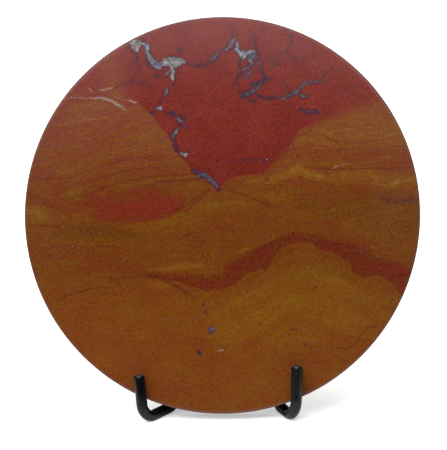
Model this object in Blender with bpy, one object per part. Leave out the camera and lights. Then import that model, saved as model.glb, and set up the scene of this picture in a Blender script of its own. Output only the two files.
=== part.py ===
# A round polished slab of red jasper that leans on a small black iron easel.
# Two round-ended hooks carry the slab's lower edge, and their rods rise behind it to a point.
# A third rod behind them holds the easel up, and a collar binds the three rods' tops.
# Metres, +Z up. The slab's polished front looks towards -Y.

import math

import bmesh
import bpy
from mathutils import Vector

# Slab
SLAB_DIAMETER = 0.200
SLAB_THICKNESS = 0.010
SLAB_CHAMFER = 0.0007
SLAB_SIDES = 192
LEAN = math.radians(15.0)

# Iron rod that the easel is bent from
ROD_DIAMETER = 0.0056
ROD_SIDE_STEPS = 6            # gives a rod of sixteen sides
ROD_END_ROUND = 0.0018
ROD_END_STEPS = 4
FILED_FLAT = 0.00035          # how much is filed off under the arms and the foot
ARC_STEP = math.radians(10.0)

# How the pieces lie against each other
TOUCH_GAP = 0.0003
HOOK_GAP = 0.0008             # from the slab's front to the hooks
SEAT_HALF_SPACING = 0.0303    # from the middle to where the slab's edge rests on each arm
SLAB_LIFT = 0.00014           # keeps the slab's round edge just clear of both arms

# The two hooks were bent by hand, and differ a little
HOOKS = {
    "left_leg": {
        "side": -1,
        "toe_out": math.radians(33.7),
        "height": 0.0227,
        "splay": math.radians(5.0),
        "bend": 0.0065,
    },
    "right_leg": {
        "side": 1,
        "toe_out": math.radians(26.0),
        "height": 0.0267,
        "splay": math.radians(1.8),
        "bend": 0.0080,
    },
}

# The part of the easel behind the slab
HEEL_BEND = 0.0062
HEEL_ROOM = 0.0025            # keeps the bend at the heel clear of the slab's edge
APEX_HEIGHT = 0.122           # where the legs meet, measured up the slab's back
APEX_RUN = 0.017              # the length that the three rod tops share
APEX_TILT = math.radians(15.0)  # the tops bend back from the slab, to leave room for the collar
APEX_BEND = 0.020
STRUT_BEND = 0.012
FOOT_BEND = 0.0070
FOOT_LENGTH = 0.014
FOOT_REACH = 0.084            # from the slab's lower front edge back to the foot's bend
COLLAR_START = 0.0065         # up the tops from where the legs meet
COLLAR_WIDTH = 0.0080
COLLAR_THICKNESS = 0.0011
COLLAR_BEVEL = 0.0003
COLLAR_ARC_STEPS = 8

# Finishes
JASPER_COLOUR = (0.185, 0.049, 0.019, 1.0)
IRON_COLOUR = (0.012, 0.012, 0.014, 1.0)

ROD_RADIUS = ROD_DIAMETER / 2
SLAB_RADIUS = SLAB_DIAMETER / 2
ARM_HEIGHT = ROD_RADIUS - FILED_FLAT

# Directions in the leaning slab: up its face, and from its front to its back
UP_FACE = Vector((0.0, math.sin(LEAN), math.cos(LEAN)))
INTO_SLAB = Vector((0.0, math.cos(LEAN), -math.sin(LEAN)))

# Directions at the rods' tops: along them, and from the two legs to the rear one
UP_TOPS = UP_FACE * math.cos(APEX_TILT) + INTO_SLAB * math.sin(APEX_TILT)
BEHIND_TOPS = INTO_SLAB * math.cos(APEX_TILT) - UP_FACE * math.sin(APEX_TILT)

# The three tops touch in a triangle: the legs side by side, the rear leg in their groove
THIRD_TURN = math.radians(120.0)
ROD_SPACING = ROD_DIAMETER + TOUCH_GAP
GROOVE_DEPTH = ROD_SPACING * math.sin(THIRD_TURN / 2)

# Edges between faces that meet at more than this angle stay crisp
CRISP_ANGLE = math.radians(35.0)
FLOOR_CUTTER_SIZE = 0.4


def clear_scene():
    """Remove every object, so that the model starts from nothing."""
    for thing in list(bpy.data.objects):
        bpy.data.objects.remove(thing, do_unlink=True)


def finish(name, colour, roughness, metallic):
    """One plain finish for a piece."""
    material = bpy.data.materials.new(name)
    material.use_nodes = True
    shader = material.node_tree.nodes["Principled BSDF"]
    shader.inputs["Base Color"].default_value = colour
    shader.inputs["Roughness"].default_value = roughness
    shader.inputs["Metallic"].default_value = metallic
    return material


def rounded_route(corners, radii):
    """Points along straight runs from corner to corner, with an arc at each inner corner."""
    points = [Vector(corners[0])]
    for index, radius in enumerate(radii, start=1):
        corner = Vector(corners[index])
        back = (Vector(corners[index - 1]) - corner).normalized()
        onward = (Vector(corners[index + 1]) - corner).normalized()
        turn = math.pi - back.angle(onward)
        arc_centre = corner + (back + onward).normalized() * (radius / math.cos(turn / 2))
        first = (corner + back * (radius * math.tan(turn / 2)) - arc_centre).normalized()
        across = (-back - first * (-back).dot(first)).normalized()
        steps = max(2, math.ceil(turn / ARC_STEP))
        for step in range(steps + 1):
            angle = turn * step / steps
            points.append(arc_centre + radius * (math.cos(angle) * first + math.sin(angle) * across))
    points.append(Vector(corners[-1]))
    return points


def round_end(tip, inward):
    """Points and thickness factors that round a rod's end over, from the tip inwards."""
    end = []
    for step in range(ROD_END_STEPS + 1):
        angle = math.pi / 2 * step / ROD_END_STEPS
        depth = ROD_END_ROUND * (1 - math.cos(angle))
        thinner = ROD_END_ROUND * (1 - math.sin(angle))
        end.append((tip + inward * depth, 1 - thinner / ROD_RADIUS))
    return end


def bent_rod(name, route, material):
    """A round rod along a route, with both ends rounded over."""
    start_inward = (route[1] - route[0]).normalized()
    end_inward = (route[-2] - route[-1]).normalized()
    points = round_end(route[0], start_inward)
    points += [(point, 1.0) for point in route[1:-1]]
    points += reversed(round_end(route[-1], end_inward))

    curve = bpy.data.curves.new(name + "_route", "CURVE")
    curve.dimensions = "3D"
    curve.bevel_depth = ROD_RADIUS
    curve.bevel_resolution = ROD_SIDE_STEPS
    curve.use_fill_caps = True
    spline = curve.splines.new("POLY")
    spline.points.add(len(points) - 1)
    for spline_point, (place, factor) in zip(spline.points, points):
        spline_point.co = (*place, 1.0)
        spline_point.radius = factor

    guide = bpy.data.objects.new(name + "_guide", curve)
    bpy.context.collection.objects.link(guide)
    mesh = bpy.data.meshes.new_from_object(guide.evaluated_get(bpy.context.evaluated_depsgraph_get()))
    bpy.data.objects.remove(guide, do_unlink=True)
    rod = bpy.data.objects.new(name, mesh)
    bpy.context.collection.objects.link(rod)
    mesh.materials.clear()
    mesh.materials.append(material)
    mesh.shade_smooth()
    return rod


def file_flat(rod, cutter):
    """File the rod's underside level, so that the easel stands without rocking."""
    cut = rod.modifiers.new("filed_flat", "BOOLEAN")
    cut.operation = "DIFFERENCE"
    cut.solver = "EXACT"
    cut.object = cutter


def slab_object(back_centre, material):
    """The slab: a disc with a small polished chamfer round both faces."""
    bpy.ops.mesh.primitive_cylinder_add(
        vertices=SLAB_SIDES, radius=SLAB_RADIUS, depth=SLAB_THICKNESS, end_fill_type="NGON"
    )
    slab = bpy.context.object
    slab.name = "jasper_slab"
    slab.data.name = "jasper_slab"
    chamfer = slab.modifiers.new("chamfer", "BEVEL")
    chamfer.width = SLAB_CHAMFER
    chamfer.segments = 2
    chamfer.limit_method = "ANGLE"
    slab.rotation_euler = (math.pi / 2 - LEAN, 0.0, 0.0)
    slab.location = back_centre - INTO_SLAB * (SLAB_THICKNESS / 2)
    slab.data.materials.append(material)
    slab.data.shade_smooth()
    slab.data.set_sharp_from_angle(angle=CRISP_ANGLE)
    return slab


def slab_back_centre():
    """Middle of the slab's back, with the lower back edge just over both arms."""
    drop = SLAB_RADIUS - math.sqrt(SLAB_RADIUS**2 - SEAT_HALF_SPACING**2)
    seat_height = ARM_HEIGHT + ROD_RADIUS + TOUCH_GAP + SLAB_LIFT
    lowest_height = seat_height - drop * math.cos(LEAN)
    lowest = Vector((0.0, SLAB_THICKNESS * math.cos(LEAN), lowest_height))
    return lowest + UP_FACE * SLAB_RADIUS


def behind_face(back_centre, distance, height):
    """How far back a plane lies at a height, that plane being a distance behind the slab's back."""
    rise = height - back_centre.z
    return back_centre.y + (distance + rise * math.sin(LEAN)) / math.cos(LEAN)


def leg_route(hook, back_centre):
    """A leg: hook before the slab, arm under it, then up behind it to the apex."""
    side = Vector((hook["side"], 0.0, 0.0))
    behind = TOUCH_GAP + ROD_RADIUS
    before = SLAB_THICKNESS + HOOK_GAP + ROD_RADIUS
    toe_y = behind_face(back_centre, -before, ARM_HEIGHT)
    heel_y = behind_face(back_centre, behind + HEEL_ROOM, ARM_HEIGHT)
    seat_y = SLAB_THICKNESS * math.cos(LEAN)
    spread = math.tan(hook["toe_out"])
    toe = side * (SEAT_HALF_SPACING + spread * (seat_y - toe_y)) + Vector((0.0, toe_y, ARM_HEIGHT))
    heel = side * (SEAT_HALF_SPACING - spread * (heel_y - seat_y)) + Vector((0.0, heel_y, ARM_HEIGHT))
    rise = UP_FACE * math.cos(hook["splay"]) + side * math.sin(hook["splay"])
    tip = toe + rise * hook["height"]
    knee = apex(back_centre) + side * (ROD_SPACING / 2)
    top = knee + UP_TOPS * APEX_RUN
    return rounded_route([tip, toe, heel, knee, top], [hook["bend"], HEEL_BEND, APEX_BEND])


def apex(back_centre):
    """Midway between the legs, where they meet and their tops begin."""
    up = APEX_HEIGHT - SLAB_RADIUS
    return back_centre + INTO_SLAB * (TOUCH_GAP + ROD_RADIUS) + UP_FACE * up


def rear_route(back_centre):
    """The rod behind: its top lies in the groove between the legs, its foot on the floor."""
    neck = apex(back_centre) + BEHIND_TOPS * GROOVE_DEPTH
    top = neck + UP_TOPS * APEX_RUN
    ankle = Vector((0.0, FOOT_REACH, ARM_HEIGHT))
    toe = ankle + Vector((0.0, FOOT_LENGTH, 0.0))
    return rounded_route([top, neck, ankle, toe], [STRUT_BEND, FOOT_BEND])


def collar_loop(shape, centres, radius, base):
    """Corners of one closed loop round the three rods, at a distance from their centres."""
    corners = []
    first_angle = math.radians(150.0)
    for number, place in enumerate(centres):
        for step in range(COLLAR_ARC_STEPS + 1):
            angle = first_angle + THIRD_TURN * (number + step / COLLAR_ARC_STEPS)
            across = place[0] + radius * math.cos(angle)
            behind = place[1] + radius * math.sin(angle)
            corners.append(shape.verts.new(base + Vector((across, 0.0, 0.0)) + BEHIND_TOPS * behind))
    return corners


def collar_object(back_centre, material):
    """A flat iron band closed round the three tops."""
    centres = ((-ROD_SPACING / 2, 0.0), (ROD_SPACING / 2, 0.0), (0.0, GROOVE_DEPTH))
    low = apex(back_centre) + UP_TOPS * COLLAR_START
    high = low + UP_TOPS * COLLAR_WIDTH
    inner = ROD_RADIUS + TOUCH_GAP
    outer = inner + COLLAR_THICKNESS
    shape = bmesh.new()
    sections = ((outer, low), (outer, high), (inner, high), (inner, low))
    loops = [collar_loop(shape, centres, radius, base) for radius, base in sections]
    for loop, following in zip(loops, loops[1:] + loops[:1]):
        for i in range(len(loop)):
            shape.faces.new((loop[i - 1], loop[i], following[i], following[i - 1]))
    mesh = bpy.data.meshes.new("collar")
    shape.to_mesh(mesh)
    shape.free()
    collar = bpy.data.objects.new("collar", mesh)
    bpy.context.collection.objects.link(collar)
    rounding = collar.modifiers.new("rounding", "BEVEL")
    rounding.width = COLLAR_BEVEL
    rounding.segments = 1
    rounding.limit_method = "ANGLE"
    rounding.angle_limit = CRISP_ANGLE
    mesh.materials.append(material)
    return collar


def floor_cutter():
    """A block whose top is the floor's level, used to file the rods' undersides."""
    bpy.ops.mesh.primitive_cube_add(
        size=FLOOR_CUTTER_SIZE, location=(0.0, 0.0, -FLOOR_CUTTER_SIZE / 2)
    )
    cutter = bpy.context.object
    cutter.name = "floor_cutter"
    cutter.hide_render = True
    cutter.display_type = "WIRE"
    return cutter


def centre_over_origin(pieces):
    """Hang the pieces on an empty that puts the middle of their depth at the origin."""
    bpy.context.view_layer.update()
    depths = []
    for piece in pieces:
        depths += [(piece.matrix_world @ Vector(corner)).y for corner in piece.bound_box]
    anchor = bpy.data.objects.new("easel_anchor", None)
    bpy.context.collection.objects.link(anchor)
    for piece in pieces:
        piece.parent = anchor
    anchor.location = (0.0, -(min(depths) + max(depths)) / 2, 0.0)


def main():
    clear_scene()
    jasper = finish("jasper", JASPER_COLOUR, roughness=0.12, metallic=0.0)
    iron = finish("iron", IRON_COLOUR, roughness=0.45, metallic=0.0)
    cutter = floor_cutter()
    back_centre = slab_back_centre()
    slab = slab_object(back_centre, jasper)
    rods = [bent_rod(name, leg_route(hook, back_centre), iron) for name, hook in HOOKS.items()]
    rods.append(bent_rod("rear_leg", rear_route(back_centre), iron))
    for rod in rods:
        file_flat(rod, cutter)
    collar = collar_object(back_centre, iron)
    centre_over_origin([slab, collar] + rods)
    bpy.context.view_layer.update()


main()
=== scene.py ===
# %% [markdown]
# # A polished slab of red jasper on its iron easel
#
# The object is one disc of red and ochre jasper, cut and polished, that leans on a small easel
# bent from three black iron rods. The CAD part gives every piece its place and size. Here each
# piece is modelled again with a finer surface and gets its finish.

# %% The CAD part in its frame
import math

import bmesh
import bpy
from mathutils import Euler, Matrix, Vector


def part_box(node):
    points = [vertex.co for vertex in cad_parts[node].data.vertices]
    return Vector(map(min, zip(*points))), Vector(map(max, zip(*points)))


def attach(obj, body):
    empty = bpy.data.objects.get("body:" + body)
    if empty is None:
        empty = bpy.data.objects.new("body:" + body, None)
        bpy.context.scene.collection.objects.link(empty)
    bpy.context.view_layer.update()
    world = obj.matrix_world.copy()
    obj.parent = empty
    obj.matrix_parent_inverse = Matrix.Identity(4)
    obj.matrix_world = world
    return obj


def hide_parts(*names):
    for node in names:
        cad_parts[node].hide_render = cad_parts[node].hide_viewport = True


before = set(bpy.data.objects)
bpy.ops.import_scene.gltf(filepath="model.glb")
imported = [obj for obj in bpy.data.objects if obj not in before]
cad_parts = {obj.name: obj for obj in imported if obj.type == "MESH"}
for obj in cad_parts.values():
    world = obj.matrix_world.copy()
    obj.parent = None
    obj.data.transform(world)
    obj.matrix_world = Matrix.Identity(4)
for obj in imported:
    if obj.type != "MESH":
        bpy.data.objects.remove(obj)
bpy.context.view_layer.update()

# %% [markdown]
# ## Where the slab lies
#
# Everything about the stone is measured on its polished front, in millimetres from its middle:
# across to the right, up the leaning face, and out towards the viewer. The middle of the front
# follows from the CAD slab's box, so the pattern stays with the stone.

# %% The slab's place
LEAN = math.radians(15.0)
SLAB_RADIUS = 0.100
SLAB_THICKNESS = 0.010
MM = 0.001
# Whatever is drawn flat on the ground stands on the slab's face after this turn.
SLAB_TURN = (math.radians(90.0) - LEAN, 0.0, 0.0)

UP_FACE = Vector((0.0, math.sin(LEAN), math.cos(LEAN)))
INTO_SLAB = Vector((0.0, math.cos(LEAN), -math.sin(LEAN)))

slab_low, slab_high = [Vector(corner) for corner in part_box("jasper_slab")]
slab_centre = (slab_low + slab_high) / 2
front_centre = slab_centre - INTO_SLAB * (SLAB_THICKNESS / 2)
back_centre = slab_centre + INTO_SLAB * (SLAB_THICKNESS / 2)
print("middle of the polished front:", [round(value, 5) for value in front_centre])


# %% [markdown]
# ## Small helpers for modelling
#
# Each piece is shaped as it would be in the viewport: start from a primitive, go into edit mode,
# select, and extrude, spin, bevel or cut. These helpers keep the selection steps short.

# %% Helpers for modelling
def deselect_everything():
    """Leave object mode with nothing selected."""
    if bpy.context.mode != "OBJECT":
        bpy.ops.object.mode_set(mode="OBJECT")
    bpy.ops.object.select_all(action="DESELECT")


def edit_all(piece):
    """Go into edit mode on one piece with all of it selected."""
    deselect_everything()
    piece.select_set(True)
    bpy.context.view_layer.objects.active = piece
    bpy.ops.object.mode_set(mode="EDIT")
    bpy.ops.mesh.select_mode(type="VERT")
    bpy.ops.mesh.select_all(action="SELECT")


def place_in_mesh(piece):
    """Put the piece's place and turn into its mesh, so that its object sits at the origin."""
    deselect_everything()
    piece.select_set(True)
    bpy.context.view_layer.objects.active = piece
    bpy.ops.object.transform_apply(location=True, rotation=True, scale=True)


def face_outwards():
    """Turn every face of the piece in edit mode outwards."""
    bpy.ops.mesh.select_all(action="SELECT")
    bpy.ops.mesh.normals_make_consistent(inside=False)


def say_shape(piece):
    """Print what was made."""
    size = [round(side / MM, 1) for side in piece.dimensions]
    print(piece.name, "has", len(piece.data.polygons), "faces and measures", size, "mm")


# %% [markdown]
# ## The slab
#
# A disc like this is sawn from one block, ground flat, and polished on both sides. Its edge is
# ground round on a wheel and its sharp corners are broken by hand, which leaves a narrow, soft
# rounding that catches the light. So the piece starts as a cylinder, and only its two corner
# edges are bevelled.

# %% The slab
SLAB_SIDES = 256
CORNER_ROUND = 0.0008
CORNER_STEPS = 4
EDGE_MARGIN = 0.0012
SHARP_ANGLE = math.radians(60.0)
SMOOTH_ANGLE = math.radians(35.0)

deselect_everything()
bpy.ops.mesh.primitive_cylinder_add(
    vertices=SLAB_SIDES,
    radius=SLAB_RADIUS,
    depth=SLAB_THICKNESS,
    end_fill_type="NGON",
    location=slab_centre,
    rotation=SLAB_TURN,
)
slab = bpy.context.object
slab.name = "polished_slab"
slab.data.name = "polished_slab"
place_in_mesh(slab)

edit_all(slab)
bpy.ops.mesh.select_mode(type="EDGE")
bpy.ops.mesh.select_all(action="DESELECT")
bpy.ops.mesh.edges_select_sharp(sharpness=SHARP_ANGLE)
bpy.ops.mesh.bevel(offset=CORNER_ROUND, segments=CORNER_STEPS, profile=0.5, affect="EDGES")
bpy.ops.mesh.select_mode(type="FACE")
bpy.ops.object.mode_set(mode="OBJECT")
# Only the round front and back have more than four corners.
for face in slab.data.polygons:
    face.select = len(face.vertices) > 4
bpy.ops.object.mode_set(mode="EDIT")
bpy.ops.mesh.inset(thickness=EDGE_MARGIN, use_individual=True)
face_outwards()
deselect_everything()
slab.select_set(True)
bpy.ops.object.shade_smooth_by_angle(angle=SMOOTH_ANGLE)
say_shape(slab)

# %% [markdown]
# ## The three rods
#
# The easel is bent cold from round iron rod, five and a half millimetres thick. The smith rounds
# the rod's end over on a grinder, then bends it round a former. So each rod is made the same way
# here: a ring becomes a rounded end, runs straight, and is spun round each former in turn. The
# undersides are filed level, so that the easel stands without rocking.

# %% The rod's measures
ROD_DIAMETER = 0.00558
ROD_RADIUS = ROD_DIAMETER / 2
ROD_END_ROUND = 0.0018
FILED_FLAT = 0.00035
ARM_HEIGHT = ROD_RADIUS - FILED_FLAT
TOUCH_GAP = 0.0003
HOOK_GAP = 0.0008
SEAT_HALF_SPACING = 0.0303
HEEL_BEND = 0.0062
HEEL_ROOM = 0.0025
APEX_HEIGHT = 0.122
APEX_RUN = 0.017
APEX_TILT = math.radians(15.0)
APEX_BEND = 0.020
STRUT_BEND = 0.012
FOOT_BEND = 0.0070
FOOT_LENGTH = 0.014

HOOKS = {
    "left_leg": {
        "side": -1,
        "toe_out": math.radians(33.7),
        "height": 0.0227,
        "splay": math.radians(5.0),
        "bend": 0.0065,
    },
    "right_leg": {
        "side": 1,
        "toe_out": math.radians(26.0),
        "height": 0.0267,
        "splay": math.radians(1.8),
        "bend": 0.0080,
    },
}

UP_TOPS = UP_FACE * math.cos(APEX_TILT) + INTO_SLAB * math.sin(APEX_TILT)
BEHIND_TOPS = INTO_SLAB * math.cos(APEX_TILT) - UP_FACE * math.sin(APEX_TILT)
ROD_SPACING = ROD_DIAMETER + TOUCH_GAP
# The tops of the three rods stand in a triangle with equal sides.
TRIANGLE_CORNER = math.radians(60.0)
GROOVE_DEPTH = ROD_SPACING * math.sin(TRIANGLE_CORNER)


def behind_face(distance, height):
    """How far back a plane lies at a height, that plane being a distance behind the slab's back."""
    rise = height - back_centre.z
    return back_centre.y + (distance + rise * math.sin(LEAN)) / math.cos(LEAN)


lowest_back_edge = back_centre - UP_FACE * SLAB_RADIUS
legs_meet = (
    back_centre
    + INTO_SLAB * (TOUCH_GAP + ROD_RADIUS)
    + UP_FACE * (APEX_HEIGHT - SLAB_RADIUS)
)
print("the legs meet", round(legs_meet.z / MM, 1), "mm above the table")


# %% The corners of each rod's route
def leg_corners(hook):
    """Tip of the hook, toe under the slab's front, heel behind it, knee at the top, and the end."""
    side = Vector((hook["side"], 0.0, 0.0))
    toe_y = behind_face(-(SLAB_THICKNESS + HOOK_GAP + ROD_RADIUS), ARM_HEIGHT)
    heel_y = behind_face(TOUCH_GAP + ROD_RADIUS + HEEL_ROOM, ARM_HEIGHT)
    seat_y = lowest_back_edge.y
    spread = math.tan(hook["toe_out"])
    toe = side * (SEAT_HALF_SPACING + spread * (seat_y - toe_y)) + Vector((0.0, toe_y, ARM_HEIGHT))
    heel = side * (SEAT_HALF_SPACING - spread * (heel_y - seat_y)) + Vector((0.0, heel_y, ARM_HEIGHT))
    tip = toe + (UP_FACE * math.cos(hook["splay"]) + side * math.sin(hook["splay"])) * hook["height"]
    knee = legs_meet + side * (ROD_SPACING / 2)
    return [tip, toe, heel, knee, knee + UP_TOPS * APEX_RUN]


def rear_corners():
    """Top, neck in the groove between the legs, ankle at the floor, and the foot's end."""
    neck = legs_meet + BEHIND_TOPS * GROOVE_DEPTH
    foot_end = Vector((0.0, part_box("rear_leg")[1][1], ARM_HEIGHT))
    ankle = foot_end - Vector((0.0, FOOT_LENGTH, 0.0))
    return [neck + UP_TOPS * APEX_RUN, neck, ankle, foot_end]


# %% [markdown]
# The slab keeps its polish because nothing hard rubs it, while the rods carry the marks of the
# bench. Their shape stays plain: round all along, softly domed at both ends, and flat only where
# they were filed.

# %% Bending a rod
ROD_SIDES = 32
DOME_STEPS = 6
BEND_STEP = math.radians(7.5)
FEWEST_BEND_STEPS = 3
CUT_CLOSENESS = 0.000001


def selected_middle(piece):
    """Middle of the selected ring of the piece in edit mode."""
    shape = bmesh.from_edit_mesh(piece.data)
    ring = [vertex.co.copy() for vertex in shape.verts if vertex.select]
    return sum(ring, Vector()) / len(ring)


def domed_profile():
    """Depth below the tip and radius of each ring of a rounded end, from the tip inwards."""
    rings = []
    for step in range(DOME_STEPS + 1):
        angle = math.pi / 2 * step / DOME_STEPS
        depth = ROD_END_ROUND * (1 - math.cos(angle))
        rings.append((depth, ROD_RADIUS - ROD_END_ROUND * (1 - math.sin(angle))))
    return rings


def extrude_ring(piece, move, scale=1.0):
    """Carry the open end of the rod on, and widen or narrow it."""
    bpy.ops.mesh.extrude_region_move(TRANSFORM_OT_translate={"value": move})
    if scale != 1.0:
        bpy.ops.transform.resize(value=(scale, scale, scale), center_override=selected_middle(piece))


def bend(before, corner, after, radius):
    """Where a bend starts, the middle of its former, its turning line and its angle."""
    back = (before - corner).normalized()
    onward = (after - corner).normalized()
    turn = math.pi - back.angle(onward)
    start = corner + back * (radius * math.tan(turn / 2))
    former = corner + (back + onward).normalized() * (radius / math.cos(turn / 2))
    return start, former, back.cross(onward).normalized(), turn


# %% A bent rod
def bent_rod(name, corners, radii):
    """A round rod through its corners, bent round a former at each inner one."""
    heading = (corners[1] - corners[0]).normalized()
    profile = domed_profile()
    deselect_everything()
    bpy.ops.mesh.primitive_circle_add(
        vertices=ROD_SIDES,
        radius=profile[0][1],
        fill_type="NGON",
        location=corners[0],
        rotation=heading.to_track_quat("Z", "Y").to_euler(),
    )
    rod = bpy.context.object
    rod.name = name
    rod.data.name = name
    place_in_mesh(rod)
    edit_all(rod)
    for (depth, radius), (next_depth, next_radius) in zip(profile, profile[1:]):
        extrude_ring(rod, heading * (next_depth - depth), next_radius / radius)
    for index, radius in enumerate(radii, start=1):
        start, former, axis, turn = bend(corners[index - 1], corners[index], corners[index + 1], radius)
        extrude_ring(rod, start - selected_middle(rod))
        steps = max(FEWEST_BEND_STEPS, math.ceil(turn / BEND_STEP))
        bpy.ops.mesh.spin(steps=steps, angle=turn, center=former, axis=axis)
    heading = (corners[-1] - corners[-2]).normalized()
    extrude_ring(rod, corners[-1] - heading * ROD_END_ROUND - selected_middle(rod))
    inward = list(reversed(profile))
    for (depth, radius), (next_depth, next_radius) in zip(inward, inward[1:]):
        extrude_ring(rod, heading * (depth - next_depth), next_radius / radius)
    face_outwards()
    bpy.ops.mesh.bisect(
        plane_co=(0.0, 0.0, 0.0),
        plane_no=(0.0, 0.0, 1.0),
        use_fill=True,
        clear_inner=True,
        threshold=CUT_CLOSENESS,
    )
    face_outwards()
    deselect_everything()
    rod.select_set(True)
    bpy.ops.object.shade_smooth_by_angle(angle=SMOOTH_ANGLE)
    say_shape(rod)
    return rod


# %% The rods
rods = {}
for node_name, hook in HOOKS.items():
    bends = [hook["bend"], HEEL_BEND, APEX_BEND]
    rods[node_name] = bent_rod("bent_" + node_name, leg_corners(hook), bends)
rods["rear_leg"] = bent_rod("bent_rear_leg", rear_corners(), [STRUT_BEND, FOOT_BEND])

# %% [markdown]
# ## The collar
#
# A flat iron strip is heated, wrapped round the three tops where they touch, and closed with a
# hammer. It follows the rods on the outside and bridges the gaps between them. It is made from a
# circle whose points are gathered round the three rods, drawn out along them, thickened inwards
# and softened at its edges.

# %% The collar
COLLAR_START = 0.0065
COLLAR_WIDTH = 0.0080
COLLAR_THICKNESS = 0.0011
COLLAR_SOFTENING = 0.0003
SOFTENING_STEPS = 3
COLLAR_SIDES = 48
# Where the rear rod's third of the circle starts and ends, and where the right rod's starts.
REAR_FROM, REAR_TO, RIGHT_FROM = 30.0, 150.0, -90.0

collar_low = legs_meet + UP_TOPS * COLLAR_START
outer_radius = ROD_RADIUS + TOUCH_GAP + COLLAR_THICKNESS
left_middle, right_middle = (-ROD_SPACING / 2, 0.0), (ROD_SPACING / 2, 0.0)
rear_middle = (0.0, GROOVE_DEPTH)

deselect_everything()
bpy.ops.mesh.primitive_circle_add(
    vertices=COLLAR_SIDES,
    radius=outer_radius,
    fill_type="NOTHING",
    location=collar_low,
    rotation=(-(LEAN + APEX_TILT), 0.0, 0.0),
)
collar = bpy.context.object
collar.name = "iron_collar"
collar.data.name = "iron_collar"
place_in_mesh(collar)

# Each third of the circle's points moves out to lie round its own rod.
edit_all(collar)
shape = bmesh.from_edit_mesh(collar.data)
for vertex in shape.verts:
    offset = vertex.co - collar_low
    angle = math.degrees(math.atan2(offset.dot(BEHIND_TOPS), offset.x))
    if REAR_FROM < angle <= REAR_TO:
        across, behind = rear_middle
    elif RIGHT_FROM < angle <= REAR_FROM:
        across, behind = right_middle
    else:
        across, behind = left_middle
    vertex.co += Vector((across, 0.0, 0.0)) + BEHIND_TOPS * behind
bmesh.update_edit_mesh(collar.data)
bpy.ops.mesh.extrude_region_move(TRANSFORM_OT_translate={"value": UP_TOPS * COLLAR_WIDTH})
face_outwards()
deselect_everything()
wall = collar.modifiers.new("wall", "SOLIDIFY")
wall.thickness = COLLAR_THICKNESS
wall.offset = -1.0
softening = collar.modifiers.new("softening", "BEVEL")
softening.width = COLLAR_SOFTENING
softening.segments = SOFTENING_STEPS
softening.limit_method = "ANGLE"
softening.angle_limit = SMOOTH_ANGLE
collar.select_set(True)
bpy.context.view_layer.objects.active = collar
for modifier in (wall.name, softening.name):
    bpy.ops.object.modifier_apply(modifier=modifier)
bpy.ops.object.shade_smooth_by_angle(angle=SMOOTH_ANGLE)
say_shape(collar)

# %% [markdown]
# ## Building finishes from nodes
#
# Every finish is worked out from the object's own coordinates, so it goes right through the stone
# and doesn't depend on how a surface was cut. These helpers add nodes and join them.


# %% Helpers for finishes
def add(tree, kind, inputs, **settings):
    """Add a node, apply its settings, and fill inputs with values or other nodes' outputs."""
    made = tree.nodes.new("ShaderNode" + kind)
    for name, value in settings.items():
        setattr(made, name, value)
    for place, value in inputs.items():
        if isinstance(value, bpy.types.NodeSocket):
            tree.links.new(value, made.inputs[place])
        else:
            made.inputs[place].default_value = value
    return made


def maths(tree, operation, *values):
    """One math node's result."""
    return add(tree, "Math", dict(enumerate(values)), operation=operation).outputs[0]


def even_noise(tree, pattern, strength):
    """Noise times a strength, moved down so that its mean is zero instead of one half."""
    return maths(tree, "MULTIPLY_ADD", pattern, strength, -strength / 2)


def add_noise(tree, value, patterns):
    """Add patterns of noise, each by its strength, and take their means off again."""
    for pattern, strength in patterns:
        value = maths(tree, "MULTIPLY_ADD", pattern, strength, value)
    return maths(tree, "ADD", value, -sum(strength for pattern, strength in patterns) / 2)


def soft_step(tree, value, low, high, result_low=0.0, result_high=1.0):
    """Goes smoothly from one result to another while the value goes from low to high."""
    inputs = {"Value": value, 1: low, 2: high, 3: result_low, 4: result_high}
    return add(tree, "MapRange", inputs, interpolation_type="SMOOTHSTEP").outputs[0]


# %% Helpers for places and noise
def dot(tree, vector, weights):
    """Weighted sum of a vector's three parts."""
    return add(tree, "VectorMath", {0: vector, 1: weights}, operation="DOT_PRODUCT").outputs["Value"]


def noise(tree, place, scale, detail=2.0, roughness=0.5, distortion=0.0, output="Fac"):
    """Cloudy noise around one half, with scale waves for each unit of the place."""
    inputs = {
        "Vector": place,
        "Scale": scale,
        "Detail": detail,
        "Roughness": roughness,
        "Distortion": distortion,
    }
    return add(tree, "TexNoise", inputs).outputs[output]


def stretched(tree, place, scale, move=(0.0, 0.0, 0.0)):
    """The place, scaled along its three axes and moved."""
    inputs = {"Vector": place, "Scale": scale, "Location": move}
    return add(tree, "Mapping", inputs).outputs[0]


# %% Helpers for colours and curves
def colour_mix(tree, factor, first, second, blend="MIX"):
    """Mix of two colours."""
    inputs = {"Factor": factor, 6: first, 7: second}
    return add(tree, "Mix", inputs, data_type="RGBA", blend_type=blend).outputs[2]


def from_screen(red, green, blue):
    """Linear colour from the 0 to 255 values that a screen shows."""
    linear = []
    for value in (red, green, blue):
        share = value / 255
        linear.append(share / 12.92 if share <= 0.04045 else ((share + 0.055) / 1.055) ** 2.4)
    return (*linear, 1.0)


def curve_value(tree, value, points, handles="AUTO_CLAMPED"):
    """The height over a value of a curve through points, level beyond its ends."""
    made = add(tree, "FloatCurve", {"Value": value})
    curve = made.mapping.curves[0]
    for place in points[2:]:
        curve.points.new(*place)
    for knot, place in zip(sorted(curve.points, key=lambda each: each.location[0]), sorted(points)):
        knot.location = place
        knot.handle_type = handles
    made.mapping.extend = "HORIZONTAL"
    made.mapping.update()
    return made.outputs[0]


# %% [markdown]
# ## The jasper
#
# Jasper is mud and ash that silica turned to stone. Iron in it rusted to deep red where air
# reached it and stayed yellow-brown elsewhere, so the colours lie in soft beds that once were
# flat and slumped before they set. Later the stone cracked, and clear and milky quartz filled the
# cracks. The finish is built in that order: beds, then fronts of redness, then veins.

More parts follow.
